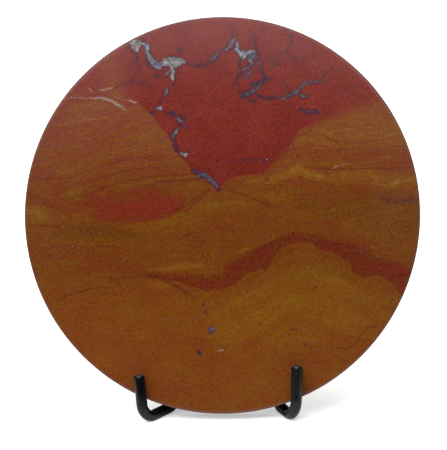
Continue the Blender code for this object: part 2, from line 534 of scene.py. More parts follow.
# %% Coordinates inside the stone
jasper = bpy.data.materials.new("polished_jasper")
jasper.use_nodes = True
stone = jasper.node_tree
stone.nodes.clear()

place_in_object = add(stone, "TexCoord", {}).outputs["Object"]
slab_frame = {
    "Vector": place_in_object,
    "Location": front_centre,
    "Rotation": SLAB_TURN,
    "Scale": (MM, MM, MM),
}
in_slab = add(stone, "Mapping", slab_frame, vector_type="TEXTURE").outputs[0]

# Nothing in stone is drawn with a ruler, so the place is disturbed a little.
# The beds and veins also slant through the stone: deeper places shift to the right and down.
RIPPLE = 1.8
RIPPLE_LOOK = {"scale": 0.22, "detail": 3.0, "roughness": 0.6}
RIPPLES_APART = (40.0, 13.0, 7.0)
SLANT_RIGHT, SLANT_DOWN = 0.35, -0.5
ripple_u = noise(stone, in_slab, **RIPPLE_LOOK)
ripple_v = noise(stone, stretched(stone, in_slab, (1.0, 1.0, 1.0), RIPPLES_APART), **RIPPLE_LOOK)
u = dot(stone, in_slab, (1.0, 0.0, SLANT_RIGHT))
v = dot(stone, in_slab, (0.0, 1.0, SLANT_DOWN))
u = add_noise(stone, u, [(ripple_u, RIPPLE)])
v = add_noise(stone, v, [(ripple_v, RIPPLE)])
flat_map = add(stone, "CombineXYZ", {0: u, 1: v, 2: 1.0}).outputs[0]

# %% Lines across the stone
# A curve node's square stands for this many millimetres on each side of the slab's middle.
HALF_MAP = 104.0
CORNER_BLEND = 2.0


def value_along(tree, along, points):
    """A value between 0 and 1 given by listed points (millimetres along, value)."""
    share = maths(tree, "MULTIPLY_ADD", along, 0.5 / HALF_MAP, 0.5)
    return curve_value(tree, share, [(place / (2 * HALF_MAP) + 0.5, value) for place, value in points])


def line_height(tree, along, points):
    """Height of a line across the stone, given by listed points (across, up)."""
    knots = [(across, up / (2 * HALF_MAP) + 0.5) for across, up in points]
    height = value_along(tree, along, knots)
    return maths(tree, "MULTIPLY_ADD", height, 2 * HALF_MAP, -HALF_MAP)


# Lower edge of the red crown, and its left side (given as up, across).
CROWN_FLOOR = [(-50.2, 49.8), (-36.9, 49.5), (-34.6, 50.5), (-32.4, 47.6), (-29.8, 44.3), (-27.3, 42.5),
    (-25.5, 40.4), (-24.6, 37.6), (-23.6, 34.3), (-21.6, 31.7), (-19.1, 29.3), (-16.8, 26.1),
    (-14.3, 22.7), (-10.8, 19.7), (-4.8, 16.5), (-0.8, 12.1), (0.7, 13.4), (2.8, 16.6), (6.4, 18.5),
    (10.4, 19.5), (15.5, 20), (20.5, 20.4), (24.1, 21.5), (26.5, 23.9), (29.1, 26.4), (31.5, 29),
    (34.4, 31.6), (36.9, 35.2), (38.8, 38.9), (40.9, 41.2), (43.9, 42.8), (48.6, 44.2), (54.4, 46.8),
    (60.6, 49.5), (67.6, 52.3), (74.9, 54.1), (80.9, 56.5), (86.9, 58.3), (100.8, 61.5)]
CROWN_SIDE = [(42.2, -27.8), (47.4, -31.8), (52.5, -36), (55.5, -39.5), (58.5, -43), (62, -46),
    (66, -48), (72, -48), (78, -47), (84, -45), (90, -42.5), (99.4, -40)]
# Under this line the upper left is ochre, and above it mottled red.
MOTTLE_FLOOR = [(-96.5, 61.5), (-79.9, 60.8), (-68.1, 60.3), (-60.4, 60), (-56.3, 58.3), (-52.2, 56.5),
    (-48.1, 54.3), (-45.1, 53.2), (-40.9, 55.7), (-37.9, 54.6)]
# The beds' own waves: low down, and on the left where they fan out.
WAVE = [(-102.5, -22.5), (-81.8, -25.8), (-61.3, -28.6), (-39.4, -29.4), (-23.6, -30.7), (-9.4, -32.6),
    (1.4, -32.6), (9.8, -29.7), (20.9, -23.7), (28, -17.7), (35.1, -13.3), (43.6, -13), (55, -15.5),
    (73.3, -22.2), (95.4, -30)]
FAN = [(-102.2, 2.9), (-89.3, 5.8), (-76.3, 9.4), (-66, 11.6), (-55.2, 15.6), (-40.8, 18.9),
    (-23, 20.1), (2.8, 20.4), (40.6, 21.7), (77.4, 21.8), (100.2, 22.1)]

in_map = add(stone, "SeparateXYZ", {0: flat_map})
u, v = in_map.outputs[0], in_map.outputs[1]
crown_floor = line_height(stone, u, CROWN_FLOOR)
crown_side = line_height(stone, v, CROWN_SIDE)
mottle_floor = line_height(stone, u, MOTTLE_FLOOR)
wave = line_height(stone, u, WAVE)
fan = line_height(stone, u, FAN)

above_floor = maths(stone, "SUBTRACT", v, crown_floor)
right_of_side = maths(stone, "SUBTRACT", u, crown_side)
crown_level = maths(stone, "SMOOTH_MIN", above_floor, right_of_side, CORNER_BLEND)
mottle_level = maths(stone, "SUBTRACT", v, mottle_floor)

# %% [markdown]
# The beds follow the wave in the lower half and the fan above it. Streaks are noise stretched
# along the beds: long thin ones for single layers of mud, and broad ones for whole beds.

# %% Beds
FAN_ENDS, WAVE_STARTS = 14.0, -8.0
# Waves in each millimetre: along the bed, across it, and into the stone.
BROAD = (0.016, 0.10, 0.03)
MIDDLE = (0.035, 0.32, 0.06)
FINE = (0.10, 1.25, 0.2)

lower_share = soft_step(stone, v, FAN_ENDS, WAVE_STARTS)
bed_line = add(stone, "Mix", {0: lower_share, 2: fan, 3: wave}, data_type="FLOAT").outputs[0]
bed_height = maths(stone, "SUBTRACT", v, bed_line)
deep = dot(stone, in_slab, (0.0, 0.0, 1.0))
bed_place = add(stone, "CombineXYZ", {0: u, 1: bed_height, 2: deep}).outputs[0]
broad_place = stretched(stone, bed_place, BROAD)
beds_broad = noise(stone, broad_place, scale=1.0, detail=3.0, roughness=0.55)
middle_place = stretched(stone, bed_place, MIDDLE)
beds_middle = noise(stone, middle_place, scale=1.0, detail=3.0, roughness=0.6, distortion=0.3)
fine_place = stretched(stone, bed_place, FINE)
beds_fine = noise(stone, fine_place, scale=1.0, distortion=0.4)
grain = noise(stone, in_slab, scale=0.72, detail=3.0, roughness=0.68)
cloud = noise(stone, in_slab, scale=0.075, detail=3.0, roughness=0.55)


# %% [markdown]
# ## Beds and veins as ribbons
#
# A single bed of mud and a crack filled with quartz are both drawn as a ribbon: a few points
# along it, in millimetres on the polished front, with half its thickness at each. One curve node
# holds how far the ribbon strays from the straight line between its ends, and another how thick
# it is. Both curves are drawn in a unit square that stands for a square of stone around the
# ribbon, just large enough for it.

# %% A ribbon along its points
LEAST_SIDE = 6.0
ROOM_AT_ENDS = 2.4
ROOM_ASIDE = 2.3
# Past its ends a ribbon's half thickness is less than nothing, by so many millimetres.
ABSENCE = 3.0
ABSENCE_BY_FADE = 2.5
NO_VEIN = -9.0


def ribbon(tree, flat, points, fade=0.6):
    """How far inside the ribbon a place is, in millimetres, and less than zero outside it."""
    first, last = Vector(points[0][:2]), Vector(points[-1][:2])
    chord = (last - first).length
    along = (last - first) / chord
    aside = Vector((-along.y, along.x))
    strays = [aside.dot(Vector(point[:2]) - first) for point in points]
    end_run = fade + max(points[0][2], points[-1][2])
    furthest = max(abs(stray) for stray in strays)
    unit = max(LEAST_SIDE, chord + ROOM_AT_ENDS * end_run, ROOM_ASIDE * furthest)
    margin = (unit - chord) / 2
    absent = 0.5 - max(ABSENCE, ABSENCE_BY_FADE * fade) / unit
    travel, offset, half_width = [], [], []
    for point, stray in zip(points, strays):
        travel.append((along.dot(Vector(point[:2]) - first) + margin) / unit)
        offset.append(stray / unit + 0.5)
        half_width.append(point[2] / unit + 0.5)
    s = dot(tree, flat, (along.x / unit, along.y / unit, (margin - along.dot(first)) / unit))
    t = dot(tree, flat, (aside.x / unit, aside.y / unit, 0.5 - aside.dot(first) / unit))
    stray_here = curve_value(tree, s, list(zip(travel, offset)))
    away = maths(tree, "SUBTRACT", t, stray_here)
    away = maths(tree, "ABSOLUTE", away)
    before = (travel[0] - end_run / unit, absent)
    after = (travel[-1] + end_run / unit, absent)
    half_width_here = curve_value(tree, s, [before, *zip(travel, half_width), after], "VECTOR")
    inside = maths(tree, "SUBTRACT", half_width_here, away)
    return maths(tree, "MULTIPLY_ADD", inside, unit, -unit / 2)


def ribbon_level(tree, flat, ribbons):
    """The highest level of several ribbons."""
    level = NO_VEIN
    for points in ribbons:
        level = maths(tree, "MAXIMUM", ribbon(tree, flat, points), level)
    return level


# %% [markdown]
# The beds that the eye picks out are drawn one by one. Each fades at its edges over some distance,
# makes the stone redder or more golden there, and makes it a little lighter or darker.

# %% Beds drawn one by one
# Name: (edge fade in mm, more red, more light, points as across, up and half thickness).
DRAWN_BEDS = {
    "lens_glow": (4, 0.24, 0, ((-79.5, 2.6, 0.5), (-66, 6, 3.5), (-53, 8.5, 5), (-40.5, 10.5, 5),
        (-28, 11, 4), (-18, 9, 1.5))),
    "lens": (1.6, 0.46, 0.05, ((-66.4, 0.2, 0.5), (-57.4, 1.3, 4.2), (-45.9, 2.4, 5.7),
        (-34.4, 3.5, 6.2), (-25.5, 4, 4.5), (-19.1, 3.9, 0.7))),
    "lens_end": (0.8, 0.25, -0.14, ((-25.5, 2.1, 0.5), (-20.4, 3.3, 1), (-17.9, 4.5, 0.7))),
    "lens_tail": (0.8, 0.3, -0.06, ((-17.9, 1.4, 0.5), (-12.8, 5.7, 0.7), (-7.6, 10.6, 0.6),
        (-4.1, 12.5, 0.4))),
    "rim_gold": (2, -0.22, 0.02, ((-100, 2.4, 3.7), (-94.7, 2.3, 3.7), (-90.2, 0.6, 2.5),
        (-86.4, -1.6, 0.5))),
    "rim_red": (0.7, 0.3, -0.1, ((-101, -3.5, 0.4), (-81.6, -4.8, 0.4))),
    "olive": (3, -0.1, -0.12, ((-84, -8, 2.5), (-66, -7.8, 4), (-50, -9, 3.5), (-34.6, -11.3, 1.5))),
    "eye_left": (0.8, 0.08, -0.15, ((-16.9, -13.4, 0.5), (-17.1, -10.5, 0.7), (-15.4, -8.8, 0.8),
        (-12.9, -8.4, 0.8), (-10.4, -9.5, 0.7))),
    "eye_right": (0.8, 0.08, -0.15, ((-8.5, -11.1, 0.6), (-8, -13.5, 0.8), (-9.5, -15.5, 0.8),
        (-12.5, -16, 0.7), (-15.4, -15.4, 0.5))),
    "eye_core": (0.8, 0, -0.1, ((-14.2, -11.9, 0.5), (-11.7, -11.3, 0.6), (-10.2, -13.2, 0.5))),
    "gold_by_lens": (3, -0.16, -0.005, ((-35.5, -5.7, 1.5), (-23, -1.8, 3), (-10, 3.5, 4), (5, 7.3, 4),
        (21, 9, 3.5), (36.4, 6.8, 2))),
    "right_shelf": (4, 0.12, 0, ((48, 28, 0.5), (66.9, 32.5, 2.5), (73.1, 30.5, 3.8), (81.7, 28.5, 4.3),
        (97, 27, 4.3))),
    "gold_shoulder": (4, -0.13, 0, ((33.7, 33.9, 1), (40.8, 36.8, 3.5), (53.3, 39.5, 5.5),
        (65.8, 41.8, 6.6), (78.2, 42, 6), (94, 39, 5))),
    "gold_band": (2, -0.3, 0.02, ((13, 16, 0.3), (18, 16.6, 1.4), (24, 17.2, 2.2), (31, 18.8, 2.6),
        (38.7, 20.6, 2.8), (44.3, 19.5, 2), (52, 18.1, 1.6))),
    "gold_band_right": (2.5, -0.24, 0.02, ((50, 18.1, 1.5), (63, 18.2, 2.5), (70.4, 18.4, 3),
        (80.3, 16.7, 3.5), (97, 15.2, 3.2))),
    "gold_knot": (1.4, -0.12, 0.05, ((36.6, 21.5, 0.8), (40, 22.9, 1.3), (43.1, 21.7, 1),
        (44.9, 19.5, 0.5))),
    "gold_knot_right": (1.4, -0.1, 0.04, ((75.4, 20.1, 0.8), (77.3, 18.3, 1.2), (78.4, 15.4, 1.4),
        (80.3, 14.2, 0.8))),
    "brown_right": (4, -0.08, -0.07, ((40, 4.2, 2.5), (60, 2.9, 6.6), (80, 0.1, 9.6), (100, -2.2, 10))),
    "light_line": (0.8, -0.2, 0.09, ((7.9, -19.4, 0.3), (21, -14.6, 0.6), (34, -9.2, 0.3))),
    "bright_streak": (1.4, -0.24, 0.09, ((-36, -27.2, 0.5), (-21.5, -26.1, 1.8), (-8, -25, 0.5))),
    "beige_streak": (1.2, -0.15, 0.06, ((-37.9, -33.4, 0.5), (-31.8, -34.5, 1.5), (-23.7, -36.6, 0.5))),
    "fan_rim_red": (4, 0.18, 0, ((-100, 30.4, 4.5), (-90.7, 21, 5), (-80.4, 13.8, 2.5))),
    "fan_left_red": (6, 0.12, 0, ((-98, 40, 5), (-88, 46, 8), (-76, 50, 6))),
    "fan_foot_red": (1.8, 0.24, -0.03, ((-100, 14, 1.5), (-92, 8.9, 2.5), (-83.6, 4.7, 1.5),
        (-75.4, 1.5, 0.5))),
    "fan_streak": (0.8, 0.24, -0.12, ((-97.2, 19.2, 0.4), (-85.5, 19.7, 0.6), (-73.9, 20, 0.4))),
    "fan_pink_high": (0.8, 0.25, 0, ((-58.7, 28.6, 0.3), (-50.4, 29.2, 0.6), (-43.3, 30.4, 0.3))),
    "mottle_red": (5, 0.22, 0, ((-85, 50.6, 2), (-76, 59.5, 6), (-65.4, 67.5, 7), (-55, 76.4, 6),
        (-45.7, 84.3, 4))),
    "mottle_gold": (5, -0.3, 0.04, ((-56, 82, 2), (-57, 76, 4), (-54, 68, 5), (-51, 61, 3))),
    "fan_gold": (0.8, -0.28, 0.08, ((-85.4, 46.4, 0.3), (-76.8, 47.8, 0.5), (-68.2, 49.2, 0.6),
        (-62.2, 49.7, 0.6), (-56.2, 50.2, 0.3))),
    "band_tail": (1.6, 0.14, -0.07, ((-56, -32.2, 0.4), (-44, -31.1, 1.1), (-35.8, -30.4, 1.1),
        (-30.7, -30.1, 0.8))),
    "brow_gold": (4, -0.1, 0, ((-42, 47.6, 2.5), (-37, 40.4, 3.5), (-32, 34.2, 2))),
    "lower_gold": (8, -0.2, -0.01, ((-3, -58, 10), (19.6, -48, 17), (44.7, -40.8, 19), (64.5, -46, 15),
        (82, -49, 7))),
    "lower_left": (9, 0.04, 0.04, ((-82, -42, 5), (-66.7, -57.4, 10), (-51.6, -72.6, 12),
        (-31.4, -85.3, 7))),
    "gold_spot": (1.1, -0.18, 0.06, ((84.7, 13.7, 0.4), (86.7, 14.2, 1), (88.9, 14.6, 1),
        (90.4, 15.1, 0.5))),
}
# The wavy band's upper and lower edges, and the reddest streaks in it.
BAND_TOP = [(-48.5, -29), (-29.7, -29.4), (-18.5, -29.9), (-8.4, -30.2), (-0.3, -29), (2.7, -26.9),
    (6.8, -22.7), (12.9, -20), (18, -16), (24.1, -13.3), (32.1, -10.2), (40.1, -9.1), (48.9, -10),
    (56.3, -12.3), (63.7, -13.9), (71.1, -16.8), (78.5, -21.8), (84.6, -24.4), (89.6, -25.8),
    (95.4, -28.2)]
BAND_FOOT = [(-48.5, -28.5), (-45, -29.6), (-29.7, -32), (-18.6, -34.2), (-14.5, -35.7), (-7.5, -37.8),
    (-0.4, -37.4), (5.7, -35.9), (8.7, -33.5), (11.8, -31.2), (19.8, -28.1), (23.9, -27.1),
    (25.9, -24.1), (30, -18.2), (36.1, -14.8), (44.1, -14.3), (47.5, -17.2), (56.2, -19.8),
    (62.4, -23.6), (64.8, -25.1), (65.7, -29.9), (72.2, -31.7), (77.1, -31.2), (84.5, -35.1),
    (88.1, -39.1), (90.5, -41.8), (93.2, -44.8), (98, -50)]
BAND_CORES = {
    "core_left": (1.6, 0.3, 0, ((-10, -34.6, 0.6), (-7.4, -34.6, 1.6), (-3.9, -34, 0.6))),
    "core": (1.6, 0.34, 0.04, ((3.2, -28.9, 0.6), (5.8, -26.9, 1.8), (9.8, -25.4, 2),
        (13.4, -24, 0.8))),
    "core_right": (1.8, 0.4, 0.04, ((16.4, -24, 0.8), (18.9, -21, 2.2), (22, -18.6, 2.4),
        (25, -17.1, 0.8))),
    "line": (0.6, 0.4, 0.05, ((53.8, -15, 0.25), (62.5, -16.1, 0.5), (70.5, -17.7, 0.5),
        (76.7, -20, 0.25))),
    "line_right": (0.6, 0.4, 0.05, ((71.6, -25.9, 0.25), (78.4, -27, 0.5), (85.8, -28.4, 0.5),
        (93.8, -30.4, 0.4))),
}


def lay_beds(tree, flat, beds, rough_edge, redness, light):
    """Add each bed's red and light, fading over its edge, which the noise makes uneven."""
    for fade, more_red, more_light, points in beds.values():
        level = ribbon(tree, flat, points, fade)
        level = maths(tree, "MULTIPLY_ADD", rough_edge, fade, level)
        share = soft_step(tree, level, -fade, fade)
        redness = maths(tree, "MULTIPLY_ADD", share, more_red, redness)
        light = maths(tree, "MULTIPLY_ADD", share, more_light, light)
    return redness, light


# %% [markdown]
# The cracks were filled at different times, so their quartz differs: nearly clear, milky, bluish,
# grey or dark. Each kind has its own list of ribbons, as across, up and half thickness, and gets
# its own colours further down. Rusty lines and pale streaks are thin single beds.

# %% The veins
VEINS = {}

# %% Veins of clear quartz, the lightest of all
VEINS["ice"] = {
    "crest_core": ((10.6, 81.8, 0.63), (11.6, 80.7, 1.26), (12.6, 80, 1.7), (13.7, 79.6, 1.39),
        (14.7, 80.3, 0.76)),
    "crest_peak": ((12.2, 82.7, 0.32), (12.7, 81.8, 0.76)),
    "crest_ridge": ((14, 80.5, 0.95), (15.5, 81.3, 0.95), (16.8, 82, 0.85), (18, 82.2, 0.7),
        (18.8, 82, 0.4)),
    "crest_rise": ((9.6, 86.6, 0.38), (10, 85.1, 0.82), (9.8, 83.3, 0.82), (10.3, 81.8, 0.88)),
    "arch": ((-38.7, 87.4, 0.7), (-37, 86.9, 0.9), (-35.9, 85.5, 1.1), (-35.8, 83.8, 1),
        (-35.6, 82.2, 0.8), (-35, 80.8, 0.4)),
    "pearl": ((-31.5, 54.5, 0.32), (-30.5, 54.4, 0.76), (-29.5, 54.4, 1.13), (-28.9, 53.7, 0.63)),
}

# %% Patches of milky quartz
VEINS["pale"] = {
    "corner_patch": ((-44.1, 88.6, 1.44), (-42.1, 88, 2.75), (-41, 85.9, 2.75),
        (-41.4, 84.1, 1.44)),
    "cloud": ((-28.7, 76.6, 1.05), (-26.9, 77.6, 2.1), (-24.6, 77.6, 2.49), (-22.1, 77.3, 2.75),
        (-19.8, 77.8, 1.97), (-18, 78.2, 1.18), (-16.5, 77.4, 0.39)),
    "splinter": ((-27.5, 70.8, 0.39), (-25.8, 72.2, 0.46), (-24.4, 73.6, 0.52),
        (-23.4, 74.6, 0.33)),
    "dash": ((-19.7, 31.1, 0.39), (-18.7, 30.7, 0.85), (-17.5, 30.4, 1.05), (-16.3, 30.7, 0.85),
        (-15.4, 31.2, 0.33)),
    "cloud_tail": ((-23.8, 75.8, 0.7), (-23.4, 74, 0.8), (-22.9, 72.3, 1.05), (-23, 70.5, 0.95),
        (-23.1, 68.4, 0.5)),
}

# %% Veins of bluish quartz
VEINS["blue"] = {
    "chain_light": ((-21.6, 49.2, 0.57), (-20.6, 48.4, 0.95), (-19.5, 47.6, 1.07),
        (-18.4, 47.3, 0.69), (-17.6, 47.6, 0.32)),
    "river": ((-35.6, 82.6, 0.6), (-35, 80.8, 1.2), (-33.9, 78.9, 1.7), (-32.4, 77.2, 2),
        (-30.7, 75.8, 1.9), (-29.2, 74.8, 1.2), (-28.6, 74.2, 0.4)),
    "crest_foot": ((16, 77.6, 1.11), (16.7, 76.7, 0.89), (17, 75.7, 0.33)),
    "link_top": ((3.1, 83.2, 0.4), (4.1, 83.3, 0.67), (5.1, 83.7, 0.79), (6, 84.7, 0.71),
        (6.8, 86, 0.75), (7.7, 87.2, 0.75), (8.5, 88.4, 0.67), (9, 88.9, 0.4)),
    "fall": ((8.9, 88.7, 0.33), (9.5, 87.7, 0.44), (9.9, 86.4, 0.44)),
    "light_drop": ((-25.7, 64.4, 0.4), (-26.1, 63.3, 0.75), (-26.6, 61.9, 0.8), (-27.1, 60.5, 0.5)),
    "chain_low": ((-20.9, 44.1, 0.45), (-22.1, 42.1, 0.8), (-23.2, 40.1, 0.85),
        (-23.6, 38.6, 0.45)),
    "white_spot": ((23.4, 27.1, 0.4), (24.1, 27.2, 0.71), (24.9, 27, 0.4)),
    "hook_light": ((-10.4, 19.7, 0.15), (-8.6, 20, 0.45), (-6.9, 19.2, 0.15)),
}

# %% Veins of grey quartz
VEINS["grey"] = {
    "crest_body": ((15, 79.4, 1.22), (16.2, 79.5, 2), (17.7, 79.7, 2.33), (18.8, 79.5, 1.88),
        (19.5, 78.3, 0.89)),
    "link": ((-3.7, 77.6, 0.55), (-2.8, 78.3, 0.87), (-1.5, 79.6, 0.85), (-0.3, 81.2, 0.8),
        (0.7, 82.5, 0.65), (1.6, 83.1, 0.45), (2.4, 83.1, 0.3)),
    "cross": ((30.8, 57.6, 0.3), (32.8, 57.8, 0.55), (35.2, 58.8, 0.7), (37.1, 60, 0.7),
        (39, 60.9, 0.82), (40.6, 62.2, 0.7), (42.2, 64, 0.74), (43.8, 65.1, 0.74),
        (45.9, 65.7, 0.54), (48.4, 65.7, 0.42), (50.5, 65.8, 0.42), (52, 66.3, 0.24)),
    "cross_right": ((39.6, 60.4, 0.48), (40.8, 59.2, 0.6), (42.3, 58.6, 0.6), (44.1, 58.4, 0.48),
        (45.8, 58.5, 0.24)),
    "streak_a": ((12.4, 72.7, 0.4), (14.5, 73.9, 0.55), (16.6, 75.1, 0.6), (18.3, 76.1, 0.4)),
    "streak_b": ((13.2, 68.6, 0.4), (14.9, 70.1, 0.55), (16.3, 71.7, 0.45), (17.7, 73.2, 0.3)),
    "tail_dot": ((-17.6, 45.6, 0.29), (-17.5, 44.6, 0.43), (-17.6, 43.8, 0.24)),
    "blot_blue": ((13.9, 60.4, 0.45), (16.4, 61.5, 0.6), (18.5, 62.6, 0.65), (20.4, 64.1, 0.5),
        (22.4, 65.5, 0.35)),
    "dot_grey": ((-6.2, -58.5, 0.8), (-4.8, -57.7, 1.15), (-3.4, -56.9, 0.8)),
    "node": ((19.5, 75.9, 0.34), (20.5, 75.8, 0.67), (21.5, 75.6, 0.29)),
    "hook": ((-11.6, 19.2, 0.5), (-9.6, 20, 1.11), (-7.2, 19.6, 1.36), (-5.7, 18.4, 1.16),
        (-3.4, 16.8, 1.26), (-1.6, 15, 1.06), (-0.8, 13.7, 0.45)),
}

# %% Veins of slate-grey quartz
VEINS["slate"] = {
    "dot_left": ((-12.3, -69.4, 0.5), (-11.4, -69.4, 0.7), (-10.4, -69.5, 0.5)),
    "node_fall": ((21.2, 74.2, 0.4), (22, 72.4, 0.55), (22.8, 70.4, 0.6), (23.7, 68.4, 0.55),
        (24.4, 67, 0.76), (25.9, 67.2, 0.35)),
    "left_fall": ((10.7, 76.5, 0.3), (11.1, 75, 0.35), (11.6, 73.4, 0.45), (12, 71.9, 0.55),
        (11.1, 70.4, 0.55), (10.1, 69.1, 0.35), (9.4, 67.7, 0.25)),
    "blot_upper": ((15.9, 65, 0.35), (17.6, 65.2, 0.81), (19.5, 65.2, 0.96), (21.5, 65.6, 0.96),
        (23.3, 66.4, 0.86)),
    "blot_lower": ((9.7, 61.1, 0.3), (11.8, 60.3, 1.01), (14, 60.5, 1.21), (16, 60.9, 1.11),
        (17.8, 61.3, 1.01), (19.1, 60.9, 0.6)),
    "blot_foot": ((11, 59.2, 0.4), (12.9, 58.7, 0.5), (14.7, 59.4, 0.35)),
    "blot_line": ((19.3, 60.3, 0.55), (21, 59.4, 0.4), (23.4, 58.5, 0.25), (25.5, 58, 0.35),
        (27.5, 58.1, 0.3), (29, 58.2, 0.2), (31.5, 57.8, 0.25), (33.6, 58.1, 0.3)),
    "blot_below": ((15.2, 57.3, 0.2), (17.2, 56.7, 0.3), (19.6, 56.6, 0.2)),
    "chain_top": ((-25.6, 51.6, 0.3), (-24, 51.7, 0.6), (-22.6, 51.6, 0.86), (-21.5, 51.1, 0.6)),
    "chain_ring": ((-20.3, 50.4, 0.4), (-18.7, 50.2, 0.66), (-17.4, 49.1, 0.55),
        (-17.2, 47.5, 0.35)),
    "chain_under": ((-22.9, 49.6, 0.4), (-22.7, 48.7, 0.35)),
    "chain_purple": ((-23, 38.2, 0.45), (-22.5, 36.6, 0.66), (-22, 34.9, 0.76), (-21.7, 33.4, 0.6),
        (-21.4, 31.9, 0.35)),
    "pearl_dark": ((-34.6, 52.6, 0.35), (-33.5, 51.9, 0.71), (-32.5, 51.4, 0.4)),
    "pearl_top": ((-29.7, 57.8, 0.35), (-29.5, 56.6, 0.35)),
    "oval": ((40.8, 53, 0.25), (42.1, 52.2, 0.44), (43.4, 51.5, 0.57), (45, 51, 0.88),
        (46.5, 50.7, 0.95), (48, 50.8, 0.82), (49.2, 50.3, 0.5), (50.5, 50, 0.25)),
    "link_grey": ((-10.9, 75.2, 0.32), (-10, 75.3, 0.47), (-9, 75.6, 0.43), (-8.3, 76.1, 0.29)),
    "link_dot": ((-5.6, 76.4, 0.29), (-4.8, 76.9, 0.43), (-4, 77.2, 0.25)),
    "under_patch_grey": ((-41.4, 82.5, 0.4), (-41.1, 80.6, 0.35), (-40.8, 78.8, 0.25)),
    "stain": ((-32.6, 70.2, 0.05), (-31, 70.7, 0.15), (-29.4, 71.1, 0.1)),
    "olive_dot": ((-20.3, 84.4, 0.05), (-19, 83.7, 0.25), (-17.8, 83, 0.3)),
    "hook_lead": ((-14, 23, 0.5), (-11.9, 22, 0.86), (-10.3, 20.7, 0.66)),
    "hook_tail": ((-0.7, 13.6, 0.45), (-0.5, 12.6, 0.45), (-0.4, 11.4, 0.2)),
}

